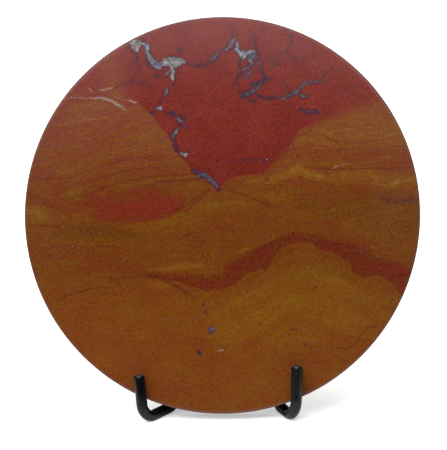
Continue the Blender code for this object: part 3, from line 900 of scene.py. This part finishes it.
# %% Cracks stained dark, and specks
VEINS["dark"] = {
    "speck_a": ((53.8, 11, 0.4), (55, 10.8, 0.45)),
    "top_crack": ((5.8, 96.5, 0.25), (6.4, 95, 0.22), (7.4, 93.2, 0.25), (7.7, 91.7, 0.25),
        (7.8, 90.3, 0.25), (8.1, 89.2, 0.22)),
    "under_patch": ((-40.8, 78.8, 0.25), (-40.5, 76.5, 0.3), (-40, 75, 0.4), (-40.8, 73.5, 0.25),
        (-41.9, 71.9, 0.25), (-42.8, 71, 0.2), (-43.6, 69, 0.2)),
    "under_patch_b": ((-39.9, 74.9, 0.2), (-38.9, 73.4, 0.2), (-38.3, 71.9, 0.15)),
    "river_wall": ((-37.3, 82, 0.25), (-37, 79.7, 0.4), (-36.1, 77.3, 0.45), (-34.6, 75.4, 0.45),
        (-32.5, 74, 0.35)),
    "arch_wall": ((-39.3, 84, 0.25), (-38.5, 85.1, 0.35), (-37.6, 84, 0.25)),
    "patch_left": ((-46.1, 86.1, 0.4), (-44.7, 84.5, 0.4), (-43.4, 83, 0.4), (-42.2, 82.2, 0.3)),
    "patch_right": ((-39.3, 89.7, 0.25), (-38.2, 89.7, 0.35), (-37, 88.6, 0.25)),
    "cloud_gap": ((-22.7, 75, 0.25), (-22.1, 74, 0.35), (-21.5, 73.4, 0.2)),
    "splinter_shade": ((-19.1, 75.6, 0.25), (-20.7, 73.5, 0.35), (-21.6, 71.6, 0.25),
        (-22.1, 69.2, 0.25), (-22.6, 66.9, 0.35), (-23.1, 65.8, 0.25)),
    "link_start": ((-16.4, 77.4, 0.22), (-15.2, 76.8, 0.29), (-13.8, 76, 0.29), (-12.4, 75.4, 0.32),
        (-10.9, 75.1, 0.25)),
    "link_mid": ((-8, 75.8, 0.22), (-6.6, 75.7, 0.18), (-5.6, 76.2, 0.18)),
    "link_wall": ((-3.3, 76.5, 0.18), (-1.9, 77.7, 0.25), (-0.4, 79.3, 0.29), (0.5, 80.7, 0.25),
        (1.3, 82.3, 0.25), (2, 83.6, 0.18), (2.9, 83.5, 0.18)),
    "right_wall": ((15.1, 92.7, 0.15), (16.9, 91.2, 0.3), (18.1, 89.8, 0.35), (18.8, 88.2, 0.4),
        (18.6, 86.3, 0.5), (19.3, 84.2, 0.66), (19.8, 82.1, 0.76), (20.2, 79.9, 0.6),
        (20.2, 78, 0.5), (19.8, 76.6, 0.4)),
    "right_wall_b": ((19.4, 87.4, 0.2), (20.4, 88.5, 0.2)),
    "crest_wall": ((11.3, 78.5, 0.35), (11, 77.3, 0.35), (10.7, 76, 0.3)),
    "crest_notch": ((11.2, 83.6, 0.25), (11.8, 82.7, 0.3), (11.5, 82, 0.2)),
    "body_mottle": ((17.3, 78.6, 0.25), (18.2, 77.8, 0.3)),
    "thin_brown": ((21.6, 76.3, 0.2), (23.5, 76.9, 0.25), (25.8, 77.6, 0.3), (28.3, 77.8, 0.25),
        (30.1, 78.5, 0.25), (31.3, 79.7, 0.25), (31.8, 81.3, 0.15)),
    "thin_purple": ((27, 73.3, 0.15), (27.6, 74.6, 0.2), (29.4, 74.9, 0.2), (32.5, 75.9, 0.15)),
    "fall_tip": ((9.4, 67.7, 0.25), (8.7, 66.1, 0.2), (7.6, 63.7, 0.15)),
    "node_branch": ((25.6, 67.2, 0.25), (27, 68.5, 0.2), (27.6, 69.5, 0.12)),
    "purple_thin": ((34.9, 92.8, 0.25), (36.3, 90.3, 0.38), (37.2, 88.3, 0.42), (37.2, 86.4, 0.42),
        (36.6, 84.2, 0.42), (35, 82.7, 0.5), (34.9, 81.3, 0.66), (35.2, 79.8, 0.66)),
    "purple_low": ((35.5, 79.7, 0.25), (37.5, 78.5, 0.25), (40, 76.9, 0.25)),
    "thin_right": ((27, 75.1, 0.19), (29.8, 75.5, 0.25), (33.1, 76.4, 0.19)),
    "chain_start": ((-23.2, 66.4, 0.3), (-22.7, 64.4, 0.25)),
    "chain_walls": ((-27.3, 63.9, 0.15), (-27.8, 62, 0.25), (-28.1, 59.7, 0.25)),
    "chain_wall_b": ((-25.3, 64.2, 0.25), (-25.9, 62.5, 0.25), (-26.3, 60.4, 0.2)),
    "drop_to_pearl": ((-28.1, 59.7, 0.2), (-29.1, 58.6, 0.15), (-29.6, 57.7, 0.25)),
    "chain_thin": ((-28.8, 52.7, 0.2), (-27.2, 52.1, 0.2), (-25.6, 51.6, 0.2)),
    "chain_olive": ((-20.2, 46.7, 0.3), (-20.7, 45.2, 0.25), (-21.2, 44, 0.3)),
    "low_wall": ((-24.6, 41.1, 0.25), (-24.7, 39.6, 0.35), (-24, 38.2, 0.3)),
    "purple_wall": ((-21.4, 31.9, 0.3), (-20.5, 31.2, 0.3), (-19.8, 30.4, 0.2)),
    "dash_end": ((-15.5, 31.3, 0.3), (-15.1, 32.4, 0.25)),
    "cross_tip": ((31.8, 65.5, 0.19), (33.4, 64.5, 0.25), (34.6, 63.2, 0.32), (35.6, 61.9, 0.32),
        (36.6, 61.3, 0.25)),
    "cross_up": ((52, 66.4, 0.25), (52.9, 68.4, 0.25), (54.1, 70.3, 0.25), (55.8, 71.2, 0.25),
        (57.4, 72.7, 0.32)),
    "cross_dot": ((32, 65.8, 0.3), (33, 65.3, 0.35)),
    "oval_top": ((41.5, 53.5, 0.19), (42.3, 52.5, 0.38), (43, 51.7, 0.32)),
    "oval_tail": ((49, 51.9, 0.19), (49.6, 50.7, 0.38), (50.6, 49.9, 0.25)),
    "short_link": ((-53.6, 65.1, 0.15), (-50, 66.3, 0.15), (-45.9, 67.5, 0.18),
        (-44.7, 68.2, 0.15)),
    "far_streak": ((-44.9, 68.5, 0.2), (-40.8, 67.4, 0.25), (-36.7, 66.3, 0.3), (-32.7, 64.7, 0.2)),
    "blue_dot": ((41.4, -65.8, 0.4), (42.4, -65.8, 0.45)),
    "ochre_dot": ((47.3, -36.9, 0.4), (48.1, -36.9, 0.4)),
    "violet_dot": ((-8.1, -48.8, 0.5), (-7.2, -49, 0.55)),
    "violet_dot_b": ((-9.1, -44.5, 0.3), (-8.4, -45.3, 0.35)),
    "dot_grey_rim": ((-6.3, -59.1, 0.3), (-4.9, -59.3, 0.4), (-3.4, -57.4, 0.3)),
    "line_violet": ((4.9, 26.2, 0.15), (10.5, 27.1, 0.2), (14.5, 27.9, 0.3), (19.6, 27.6, 0.25),
        (23.1, 27.1, 0.2)),
    "eddy": ((79.6, 8.6, 0.08), (82, 6.7, 0.12), (85.7, 5, 0.15), (90, 4.5, 0.18),
        (92.8, 5.4, 0.45), (95, 5.8, 0.45), (98.1, 5.8, 0.12)),
}

# %% Rusty lines along the beds
VEINS["rust"] = {
    "dip_line": ((-0.3, 12.2, 0.3), (3.8, 12.5, 0.25), (8.3, 11, 0.25), (12.9, 9.7, 0.35),
        (18.3, 7.3, 0.4), (21.3, 5.8, 0.6), (24.3, 4.6, 1.3), (27.5, 3.5, 0.5), (31.5, 3.6, 0.15)),
    "lens_tail": ((-6.1, 12.2, 0.2), (-9.9, 10.1, 0.25), (-13, 7.9, 0.3), (-16.1, 5.4, 0.3),
        (-18.7, 3.1, 0.2)),
    "shelf_line": ((44.6, 23.7, 0.15), (48.6, 22.8, 0.3), (52.5, 22.2, 0.35), (60.5, 21.9, 0.35),
        (70.5, 21.9, 0.3), (77.4, 21.8, 0.3), (86.3, 21.8, 0.35), (96.7, 22.3, 0.3)),
    "arc": ((38, 37.3, 0.15), (42.8, 39.9, 0.2), (49.8, 39, 0.25), (53.3, 38, 0.3),
        (56.8, 36.7, 0.4), (60.5, 35, 0.3)),
    "low_left_line": ((-84.1, -42.3, 0.25), (-78.9, -40.7, 0.45), (-71.5, -37.8, 0.5),
        (-65, -36.5, 0.3), (-57.3, -35.8, 0.15)),
    "left_line": ((-89, -15.9, 0.6), (-84.8, -14.9, 0.55), (-78.6, -15, 0.4), (-66.3, -15.3, 0.3),
        (-59.1, -15.2, 0.4), (-52, -14.6, 0.25)),
    "low_right_line": ((42.3, -66.6, 0.2), (49.3, -67.1, 0.25), (55.3, -67.4, 0.25),
        (60.7, -67.4, 0.3), (65.2, -66.4, 0.3), (68.2, -63.5, 0.25), (70.7, -60.3, 0.25),
        (72.5, -55.8, 0.15)),
    "foot_line": ((58.6, -73.6, 0.25), (61.6, -73.9, 0.4), (64.6, -74.4, 0.25)),
    "red_dash": ((71.5, -57.5, 0.45), (74.7, -56.8, 0.6), (78.7, -56.8, 0.4)),
    "rim_dash": ((80.6, -47.1, 0.4), (83.8, -47.5, 0.4), (87.2, -47.5, 0.35)),
    "fan_1": ((-11.8, 20.7, 0.2), (-23, 20.1, 0.35), (-31.1, 19.8, 0.3), (-40.8, 18.9, 0.4),
        (-55.2, 15.6, 0.4), (-66, 11.6, 0.35), (-76.3, 9.4, 0.2)),
    "fan_2": ((-24.4, 30.1, 0.15), (-31, 30.1, 0.25), (-37.1, 29.9, 0.25), (-44.3, 29, 0.2),
        (-51.5, 27.7, 0.25), (-63.8, 25, 0.2)),
    "fan_3": ((-14.8, 24.5, 0.15), (-26, 24.5, 0.25), (-37.2, 24, 0.25), (-48.5, 22.9, 0.25),
        (-59.8, 20.1, 0.25), (-69, 17.1, 0.15)),
    "branch": ((-36.8, -30.1, 0.3), (-32, -31.3, 0.6), (-26.7, -33.8, 0.71), (-21.6, -36.4, 0.71),
        (-15.6, -39.9, 0.5), (-12.6, -41.8, 0.2)),
    "seam_spots": ((22.3, 17.1, 0.5), (23.7, 17.2, 0.9), (25.1, 17.3, 0.5)),
    "heart": ((38.3, 38.1, 0.25), (37.5, 33.1, 0.35), (39.4, 28, 0.25)),
    "fan_0": ((-39.4, 14.8, 0.2), (-29.1, 16.9, 0.45), (-19, 17.5, 0.5), (-12.6, 17.7, 0.35)),
    "seam_spot_b": ((39.4, 18.3, 0.25), (40.5, 18.2, 0.45), (41.7, 18.1, 0.25)),
    "stain_dot": ((34.5, -58.1, 0.3), (36.3, -57.9, 0.55), (38.2, -57.9, 0.3)),
    "speck_b": ((67.6, 11.5, 0.25), (68.6, 11.4, 0.25)),
}

# %% Pale pink streaks and flecks
VEINS["blush"] = {
    "streak_short": ((-60.3, 64, 0.35), (-57.8, 64.5, 0.6), (-55.2, 65.2, 0.42),
        (-53.5, 65.8, 0.2)),
    "streak_long": ((-79.9, 60.9, 0.18), (-70.7, 60.5, 0.22), (-66.1, 60.3, 0.3),
        (-62.9, 60.3, 0.5), (-60.4, 60.5, 0.6), (-58.7, 60.2, 0.75), (-56.1, 59.1, 0.8),
        (-53.5, 58, 0.75), (-51, 56.4, 0.65), (-48.5, 54.9, 0.45), (-46.3, 53.8, 0.2)),
    "streak_high": ((-53.5, 60.3, 0.1), (-50.1, 59.8, 0.2), (-46.7, 59.1, 0.33),
        (-43.3, 58.1, 0.42), (-40.8, 57.3, 0.2)),
    "right_streak": ((55.8, 22.4, 0.02), (58.8, 23.2, 0.08), (62.1, 23.9, 0.14),
        (65.6, 24.8, 0.05)),
    "streak_tiny": ((-66.5, 65.9, 0.15), (-65.2, 64.6, 0.25), (-63.8, 63.2, 0.15)),
    "fleck_a": ((-75.9, -15, 0.1), (-74.6, -15.1, 0.15)),
    "fleck_b": ((-53.5, -14.7, 0.05), (-51.4, -13.9, 0.1)),
    "fleck_c": ((75.6, -16.8, 0.1), (76.6, -17.7, 0.15)),
    "fleck_d": ((35.3, 71.5, 0.1), (36.6, 71.4, 0.1)),
    "fleck_e": ((-1.3, -68.3, 0.35), (1, -68, 0.35)),
}
print("the stone has", sum(len(kind) for kind in VEINS.values()), "veins, streaks and specks")

# %% The veins' levels
# Cracks wander more than beds do, so the place is disturbed once more for them.
WANDER = 2.0
wander = noise(stone, in_slab, scale=0.55, roughness=0.6, output="Color")
wander_move = {0: wander, 1: (WANDER, WANDER, 0.0), 2: flat_map}
vein_map = add(stone, "VectorMath", wander_move, operation="MULTIPLY_ADD").outputs[0]
wander_mean = {0: vein_map, 1: (WANDER / 2, WANDER / 2, 0.0)}
vein_map = add(stone, "VectorMath", wander_mean, operation="SUBTRACT").outputs[0]
vein_levels = {kind: ribbon_level(stone, vein_map, veins.values()) for kind, veins in VEINS.items()}

# %% [markdown]
# ## From levels to colour
#
# The ground goes from golden ochre through rusty brown to brick red. The crown is a cooler,
# deeper red. Every edge is roughened with noise, because rust crept through the mud unevenly.

# %% The ground's colour
# How light the beds are from the bottom of the slab to its top.
LIGHT_BY_HEIGHT = [(-104, 0.74), (-60, 0.71), (-38, 0.68), (-26, 0.63), (-8, 0.64), (12, 0.675),
    (38, 0.765), (60, 0.8), (80, 0.8), (104, 0.88)]
base_light = value_along(stone, v, LIGHT_BY_HEIGHT)

MIDDLE_REDNESS = 0.48
rough_edge = even_noise(stone, beds_middle, 3.0)
redness, light = lay_beds(stone, flat_map, DRAWN_BEDS, rough_edge, MIDDLE_REDNESS, base_light)

# %% The wavy band
# The wavy band is crisp below and melts into the beds above it. It is redder in streaks.
BAND_DARKNESS = -0.11
FOOT_ROUGHNESS = 0.35
band_rough = even_noise(stone, beds_fine, 4.0)
below_top = maths(stone, "SUBTRACT", line_height(stone, u, BAND_TOP), v)
below_top = maths(stone, "ADD", below_top, band_rough)
above_foot = maths(stone, "SUBTRACT", v, line_height(stone, u, BAND_FOOT))
above_foot = maths(stone, "MULTIPLY_ADD", band_rough, FOOT_ROUGHNESS, above_foot)
under_soft_top = soft_step(stone, below_top, -1.5, 2.5)
over_crisp_foot = soft_step(stone, above_foot, -0.5, 0.7)
band_mask = maths(stone, "MULTIPLY", under_soft_top, over_crisp_foot)
band_red = soft_step(stone, beds_fine, 0.35, 0.62, result_low=0.20, result_high=0.36)
redness = maths(stone, "MULTIPLY_ADD", band_mask, band_red, redness)
light = maths(stone, "MULTIPLY_ADD", band_mask, BAND_DARKNESS, light)
redness, light = lay_beds(stone, flat_map, BAND_CORES, rough_edge, redness, light)

# %% Streaks and mottling
# Streaks are strong in the middle of the slab and nearly gone in the plain bed at the lower right.
UPPER_STREAKS, PLAIN_STREAKS = 1.4, 0.22
MOTTLE_RED = 0.22
plain_low = soft_step(stone, bed_height, 2.0, -6.0, 1.0, PLAIN_STREAKS)
plain_low = maths(stone, "MULTIPLY", plain_low, lower_share)
upper_share = maths(stone, "SUBTRACT", 1.0, lower_share)
streakiness = maths(stone, "MULTIPLY_ADD", upper_share, UPPER_STREAKS, plain_low)
streaks = add_noise(stone, even_noise(stone, beds_fine, 0.75), [(beds_middle, 0.55)])
redness = maths(stone, "MULTIPLY_ADD", streaks, streakiness, redness)
redness = add_noise(stone, redness, [(beds_broad, 0.5), (cloud, 0.3), (grain, 0.55)])

ragged = even_noise(stone, grain, 1.6)
ragged_wide = even_noise(stone, cloud, 10.0)
mottle_edge = maths(stone, "ADD", mottle_level, ragged_wide)
mottle_mask = soft_step(stone, mottle_edge, -1.0, 5.0)
redness = maths(stone, "MULTIPLY_ADD", mottle_mask, MOTTLE_RED, redness)

# %% The ramp of ground colours, and the crown
ground = add(stone, "ValToRGB", {"Fac": redness})
GROUND_COLOURS = (
    (0.00, (136, 92, 28)),
    (0.25, (124, 75, 18)),
    (0.50, (117, 61, 18)),
    (0.75, (116, 50, 22)),
    (1.00, (120, 40, 25)),
)
ramp = ground.color_ramp
while len(ramp.elements) < len(GROUND_COLOURS):
    ramp.elements.new(0.5)
for element, (position, colour) in zip(ramp.elements, GROUND_COLOURS):
    element.position = position
    element.color = from_screen(*colour)

CROWN_DEEP = from_screen(112, 35, 27)
CROWN_LIGHT = from_screen(120, 41, 33)
crown_clouds = soft_step(stone, cloud, 0.35, 0.65)
crown_colour = colour_mix(stone, crown_clouds, CROWN_DEEP, CROWN_LIGHT)
CROWN_SOFTNESS = [(-104, 1), (21, 1), (26, 0.3), (31, 0.2), (36, 0.3), (41, 0.5), (50, 0.4), (62, 0.22),
    (104, 0.22)]
crown_softness = value_along(stone, u, CROWN_SOFTNESS)
high_softness = soft_step(stone, v, 50.0, 60.0, result_low=1.0, result_high=0.15)
crown_softness = maths(stone, "MINIMUM", crown_softness, high_softness)
crown_edge = maths(stone, "ADD", crown_level, ragged)
crown_edge = maths(stone, "MULTIPLY", crown_edge, crown_softness)
crown_mask = soft_step(stone, crown_edge, -0.9, 0.9)
# The upper beds get a little purplish-pink tint, most of it on the left: a painted reflection.
PAINTED_REFLECTION_TINT = from_screen(126, 64, 76)
REFLECTION_TINT_MOST, REFLECTION_TINT_RIGHT = 0.19, 0.55
painted_reflection_tint = soft_step(stone, v, 0.0, 55.0, 0.0, REFLECTION_TINT_MOST)
painted_reflection_tint = maths(stone, "MULTIPLY", painted_reflection_tint, soft_step(stone, u, 70.0, -40.0, REFLECTION_TINT_RIGHT, 1.0))
ground_colour = colour_mix(stone, painted_reflection_tint, ground.outputs[0], PAINTED_REFLECTION_TINT)
body_colour = colour_mix(stone, crown_mask, ground_colour, crown_colour)

# %% Grain
# Fine grain makes the ground lighter and darker from speck to speck, and redder or bluer.
GRAIN_LIGHT, STREAK_LIGHT = 0.86, 0.28
SPECKS = (0.40, 0.85, 4.2)
DARKEST = (0.04, 0.04, 0.04)
brightness = add_noise(stone, light, [(grain, GRAIN_LIGHT)])
brightness = maths(stone, "MULTIPLY_ADD", streaks, STREAK_LIGHT, brightness)
specks = noise(stone, in_slab, scale=0.80, detail=1.5, output="Color")
speck_mean = tuple(-share / 2 for share in SPECKS)
shade = add(stone, "CombineXYZ", {0: brightness, 1: brightness, 2: brightness}).outputs[0]
shade = add(stone, "VectorMath", {0: specks, 1: SPECKS, 2: shade}, operation="MULTIPLY_ADD").outputs[0]
shade = add(stone, "VectorMath", {0: shade, 1: speck_mean}, operation="ADD").outputs[0]
shade = add(stone, "VectorMath", {0: shade, 1: DARKEST}, operation="MAXIMUM").outputs[0]
body_colour = colour_mix(stone, 1.0, body_colour, shade, "MULTIPLY")

# %% The veins' colours
VEIN_DARK = from_screen(66, 30, 38)
VEIN_RUST = from_screen(78, 32, 18)
VEIN_WALL = from_screen(50, 34, 46)
VEIN_SLATE = from_screen(76, 68, 76)
VEIN_BLUE = from_screen(70, 70, 80)
VEIN_BLUE_LIGHT = from_screen(104, 104, 112)
VEIN_GREY_SHADE = from_screen(56, 49, 58)
VEIN_GREY = from_screen(78, 73, 82)
VEIN_PALE = from_screen(143, 145, 141)
VEIN_CREAM = from_screen(88, 82, 83)
VEIN_ICE = from_screen(120, 130, 141)
VEIN_ICE_SHADE = from_screen(84, 86, 96)
VEIN_BLUSH = from_screen(136, 115, 104)

vein_clouds = noise(stone, in_slab, scale=0.50, detail=3.0, roughness=0.7)
vein_ragged = even_noise(stone, vein_clouds, 1.6)
vein_tone = soft_step(stone, vein_clouds, 0.38, 0.62)


# %% Filling a vein
def fill_vein(colour, kind, soft_low, soft_high, strength, vein_colour):
    """Lay one kind of vein over the colour. Its ragged edge fades between two levels, in mm."""
    edge = maths(stone, "ADD", vein_levels[kind], vein_ragged)
    mask = soft_step(stone, edge, soft_low, soft_high, 0.0, strength)
    return colour_mix(stone, mask, colour, vein_colour)


def crack_filling(kind, outer, inner, depth_from, depth_to):
    """Colour that goes from the crack's wall to its middle."""
    depth = soft_step(stone, vein_levels[kind], depth_from, depth_to)
    return colour_mix(stone, depth, outer, inner)


# %% The veins, one kind over another
# A dark rim of iron oxide lies round the quartz, here and there only.
quartz_level = vein_levels["slate"]
for kind in ("ice", "pale", "blue", "grey"):
    quartz_level = maths(stone, "MAXIMUM", quartz_level, vein_levels[kind])
RIM_LEAST, RIM_MOST = 0.35, 0.95
rim_clouds = noise(stone, in_slab, scale=0.16)
rim_share = soft_step(stone, rim_clouds, 0.40, 0.60, RIM_LEAST, RIM_MOST)
rim_edge = maths(stone, "ADD", quartz_level, vein_ragged)
rim_mask = maths(stone, "MULTIPLY", soft_step(stone, rim_edge, -1.5, -0.1), rim_share)
vein_colour = colour_mix(stone, rim_mask, body_colour, VEIN_DARK)

vein_colour = fill_vein(vein_colour, "rust", -0.5, 0.4, 0.6, VEIN_RUST)
vein_colour = fill_vein(vein_colour, "dark", -1.7, 0.2, 0.30, VEIN_DARK)
vein_colour = fill_vein(vein_colour, "dark", -0.45, 0.45, 0.75, VEIN_DARK)
slate_colour = crack_filling("slate", VEIN_WALL, VEIN_SLATE, 0.2, 1.2)
slate_colour = colour_mix(stone, vein_tone, VEIN_WALL, slate_colour)
vein_colour = fill_vein(vein_colour, "slate", -0.7, 0.7, 0.90, slate_colour)
grey_colour = colour_mix(stone, vein_tone, VEIN_GREY_SHADE, VEIN_GREY)
vein_colour = fill_vein(vein_colour, "grey", -0.5, 0.6, 0.95, grey_colour)
blue_colour = colour_mix(stone, vein_tone, VEIN_BLUE, VEIN_BLUE_LIGHT)
blue_colour = crack_filling("blue", VEIN_WALL, blue_colour, -0.3, 0.6)
vein_colour = fill_vein(vein_colour, "blue", -0.4, 0.5, 1.0, blue_colour)
pale_tone = soft_step(stone, vein_clouds, 0.42, 0.68)
pale_colour = colour_mix(stone, pale_tone, VEIN_CREAM, VEIN_PALE)
pale_colour = crack_filling("pale", VEIN_SLATE, pale_colour, -0.2, 0.6)
vein_colour = fill_vein(vein_colour, "pale", -0.35, 0.35, 1.0, pale_colour)
ice_colour = colour_mix(stone, vein_tone, VEIN_ICE_SHADE, VEIN_ICE)
ice_colour = crack_filling("ice", VEIN_ICE_SHADE, ice_colour, -0.2, 0.6)
vein_colour = fill_vein(vein_colour, "ice", -0.5, 0.5, 1.0, ice_colour)
vein_colour = fill_vein(vein_colour, "blush", -0.3, 0.5, 0.80, VEIN_BLUSH)

# %% [markdown]
# ## The polish
#
# Polished jasper is glass-smooth but not quite a mirror: the last grit leaves a faint haze, so
# reflections are soft. Quartz takes polish a little better than the softer brown beds.

# %% The polish
STONE_REFRACTION = 1.54
EDGE_START, EDGE_END = 98.9, 99.5
EDGE_ROUGHNESS, EDGE_PAINTED_SHADE = 0.40, 0.45
EDGE_SHADE_COLOUR = from_screen(40, 22, 16)
HAZE_START, HAZE_END, PAINTED_HAZE_MOST, PAINTED_HAZE_LOW = 60.0, 99.0, 0.020, 0.3
PAINTED_HAZE_COLOUR = from_screen(160, 150, 130)
face_only = {0: in_slab, 1: (1.0, 1.0, 0.0)}
across_face = add(stone, "VectorMath", face_only, operation="MULTIPLY").outputs[0]
from_middle = add(stone, "VectorMath", {0: across_face}, operation="LENGTH").outputs["Value"]
edge_mask = soft_step(stone, from_middle, EDGE_START, EDGE_END)
polish = soft_step(stone, grain, 0.2, 0.8, result_low=0.14, result_high=0.18)
polish = maths(stone, "MULTIPLY_ADD", edge_mask, EDGE_ROUGHNESS, polish)
# The rounded rim's colour is darkened: painted shade, so that the rim stays dark instead of catching
# reflections.
painted_edge_shade = maths(stone, "MULTIPLY", edge_mask, EDGE_PAINTED_SHADE)
# Towards the rim a faint pale haze is painted into the colour, a painted reflection, least so low down.
painted_haze = soft_step(stone, from_middle, HAZE_START, HAZE_END, 0.0, PAINTED_HAZE_MOST)
painted_haze = maths(stone, "MULTIPLY", painted_haze, soft_step(stone, v, -50.0, 20.0, PAINTED_HAZE_LOW, 1.0))
stone_colour = colour_mix(stone, painted_haze, vein_colour, PAINTED_HAZE_COLOUR)
stone_colour = colour_mix(stone, painted_edge_shade, stone_colour, EDGE_SHADE_COLOUR)
stone_shader = add(stone, "BsdfPrincipled", {"Base Color": stone_colour, "Roughness": polish})
stone_shader.inputs["IOR"].default_value = STONE_REFRACTION
add(stone, "OutputMaterial", {"Surface": stone_shader.outputs[0]})
print("the jasper finish has", len(stone.nodes), "nodes")

# %% [markdown]
# ## The iron
#
# The rods are blackened and waxed or sprayed satin black. The skin is not quite even: the
# hammer and the rolling mill leave shallow waves, and the paint a fine tooth.

# %% The iron's finish
IRON_DARK = from_screen(5, 5, 7)
IRON_WORN = from_screen(12, 12, 15)
TOOTH_SHARE = 0.08
WAVE_DEPTH = 0.0004
SATIN_SHINE = 0.25
iron = bpy.data.materials.new("black_iron")
iron.use_nodes = True
skin = iron.node_tree
skin.nodes.clear()
in_mm = (1 / MM, 1 / MM, 1 / MM)
rod_place = stretched(skin, add(skin, "TexCoord", {}).outputs["Object"], in_mm)
hammer = noise(skin, rod_place, scale=0.28)
tooth = noise(skin, rod_place, scale=3.0, roughness=0.6)
rubbed = noise(skin, rod_place, scale=0.11, detail=3.0, roughness=0.6)
iron_tone = soft_step(skin, rubbed, 0.35, 0.7)
iron_colour = colour_mix(skin, iron_tone, IRON_DARK, IRON_WORN)
iron_gloss = soft_step(skin, rubbed, 0.3, 0.7, result_low=0.22, result_high=0.34)
iron_height = maths(skin, "MULTIPLY_ADD", tooth, TOOTH_SHARE, hammer)
bump_inputs = {"Strength": 0.35, "Distance": WAVE_DEPTH, "Height": iron_height}
iron_bump = add(skin, "Bump", bump_inputs).outputs[0]
iron_inputs = {"Base Color": iron_colour, "Roughness": iron_gloss, "Normal": iron_bump}
iron_shader = add(skin, "BsdfPrincipled", iron_inputs)
iron_shader.inputs["Specular IOR Level"].default_value = SATIN_SHINE
add(skin, "OutputMaterial", {"Surface": iron_shader.outputs[0]})

# %% Finishes and places in the frame
slab.data.materials.append(jasper)
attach(slab, "root")
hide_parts("jasper_slab")
iron_pieces = {**rods, "collar": collar}
for node_name, piece in iron_pieces.items():
    piece.data.materials.append(iron)
    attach(piece, "root")
    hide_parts(node_name)

# %% [markdown]
# ## Floor, light and camera
#
# The object stands on a plain white table under soft studio light. The key light comes from the
# upper left. A wide soft light hangs over the camera and shows in the slab's upper part as a
# faint pale haze, as a window would.

# %% The floor
FLOOR_SIZE = 16.0
FLOOR_BEHIND = 2.0
WHITE = (1.0, 1.0, 1.0, 1.0)
# White paper is overexposed in such a picture, so to the camera it is a little brighter.
PAPER_GLOW = 0.45
bpy.ops.mesh.primitive_plane_add(size=FLOOR_SIZE, location=(0.0, FLOOR_BEHIND, 0.0))
floor = bpy.context.object
floor.name = "white_table"
paper = bpy.data.materials.new("white_paper")
paper.use_nodes = True
sheet = paper.node_tree
sheet.nodes.clear()
sheet_inputs = {"Base Color": (0.9, 0.9, 0.9, 1.0), "Roughness": 0.9, "Specular IOR Level": 0.1}
sheet_shader = add(sheet, "BsdfPrincipled", sheet_inputs)
sheet_shader.inputs["Emission Color"].default_value = WHITE
seen = add(sheet, "LightPath", {}).outputs["Is Camera Ray"]
glow = maths(sheet, "MULTIPLY", seen, PAPER_GLOW)
sheet.links.new(glow, sheet_shader.inputs["Emission Strength"])
add(sheet, "OutputMaterial", {"Surface": sheet_shader.outputs[0]})
floor.data.materials.append(paper)


# %% The lights
def soft_light(name, azimuth, elevation, distance, width, height, power, colour):
    """A wide light that looks at the slab from a direction, azimuth 0 being straight before it."""
    turn, lift = math.radians(azimuth), math.radians(elevation)
    away = Vector((math.sin(turn) * math.cos(lift), -math.cos(turn) * math.cos(lift), math.sin(lift)))
    deselect_everything()
    bpy.ops.object.light_add(
        type="AREA",
        location=front_centre + away * distance,
        rotation=away.to_track_quat("Z", "Y").to_euler(),
    )
    light = bpy.context.object
    light.name = name
    light.data.shape = "RECTANGLE"
    light.data.size = width
    light.data.size_y = height
    light.data.energy = power
    light.data.color = colour


SKYLIGHT_PLACE = (0.0, 0.0, 3.0)
SKYLIGHT_STRENGTH = 4.6
SKYLIGHT_SPREAD = math.radians(80.0)
SKYLIGHT_TILT = (math.radians(8.0), math.radians(-6.0), 0.0)

bpy.ops.object.light_add(type="SUN", location=SKYLIGHT_PLACE, rotation=SKYLIGHT_TILT)
skylight = bpy.context.object
skylight.name = "skylight"
skylight.data.energy = SKYLIGHT_STRENGTH
skylight.data.angle = SKYLIGHT_SPREAD
soft_light(
    "window_light",
    azimuth=-4.0,
    elevation=37.0,
    distance=1.6,
    width=2.0,
    height=0.60,
    power=5.4,
    colour=(0.95, 0.92, 1.0),
)
soft_light(
    "side_light",
    azimuth=-48.0,
    elevation=38.0,
    distance=1.6,
    width=0.9,
    height=0.9,
    power=5.0,
    colour=(1.0, 0.99, 0.97),
)

# %% The room round the table
ROOM_COLOUR = (0.9, 0.92, 1.0, 1.0)
ROOM_STRENGTH = 0.02
world = bpy.data.worlds.new("studio")
bpy.context.scene.world = world
world.use_nodes = True
sky = world.node_tree
sky.nodes.clear()
for_camera = add(sky, "LightPath", {}).outputs["Is Camera Ray"]
white_backdrop = add(sky, "Background", {"Color": WHITE, "Strength": 1.0})
dim_room = add(sky, "Background", {"Color": ROOM_COLOUR, "Strength": ROOM_STRENGTH})
either = add(sky, "MixShader", {0: for_camera, 1: dim_room.outputs[0], 2: white_backdrop.outputs[0]})
add(sky, "OutputWorld", {"Surface": either.outputs[0]})

# %% [markdown]
# The camera stands a little to the right of the slab and looks slightly down on it.

# %% The camera
CAMERA_AZIMUTH = math.radians(5.19)
CAMERA_HEIGHT_ANGLE = math.radians(13.55)
CAMERA_ROLL = math.radians(2.07)
CAMERA_DISTANCE = 0.700
CAMERA_LENS = 111.34
SENSOR_SIZE = 36.0
AIM_OFFSET = Vector((1.740, -1.082, -5.125)) * MM

aim = front_centre + AIM_OFFSET
backwards = Vector((
    math.sin(CAMERA_AZIMUTH) * math.cos(CAMERA_HEIGHT_ANGLE),
    -math.cos(CAMERA_AZIMUTH) * math.cos(CAMERA_HEIGHT_ANGLE),
    math.sin(CAMERA_HEIGHT_ANGLE),
))
turned = backwards.to_track_quat("Z", "Y") @ Euler((0.0, 0.0, -CAMERA_ROLL)).to_quaternion()
bpy.ops.object.camera_add(location=aim + backwards * CAMERA_DISTANCE, rotation=turned.to_euler())
camera = bpy.context.object
camera.name = "photo_camera"
camera.data.sensor_fit = "VERTICAL"
camera.data.sensor_height = SENSOR_SIZE
camera.data.lens = CAMERA_LENS
camera.data.dof.use_dof = False
camera.data.clip_start = 0.01
camera.data.clip_end = 50.0
bpy.context.scene.camera = camera
bpy.context.scene.view_settings.view_transform = "Standard"
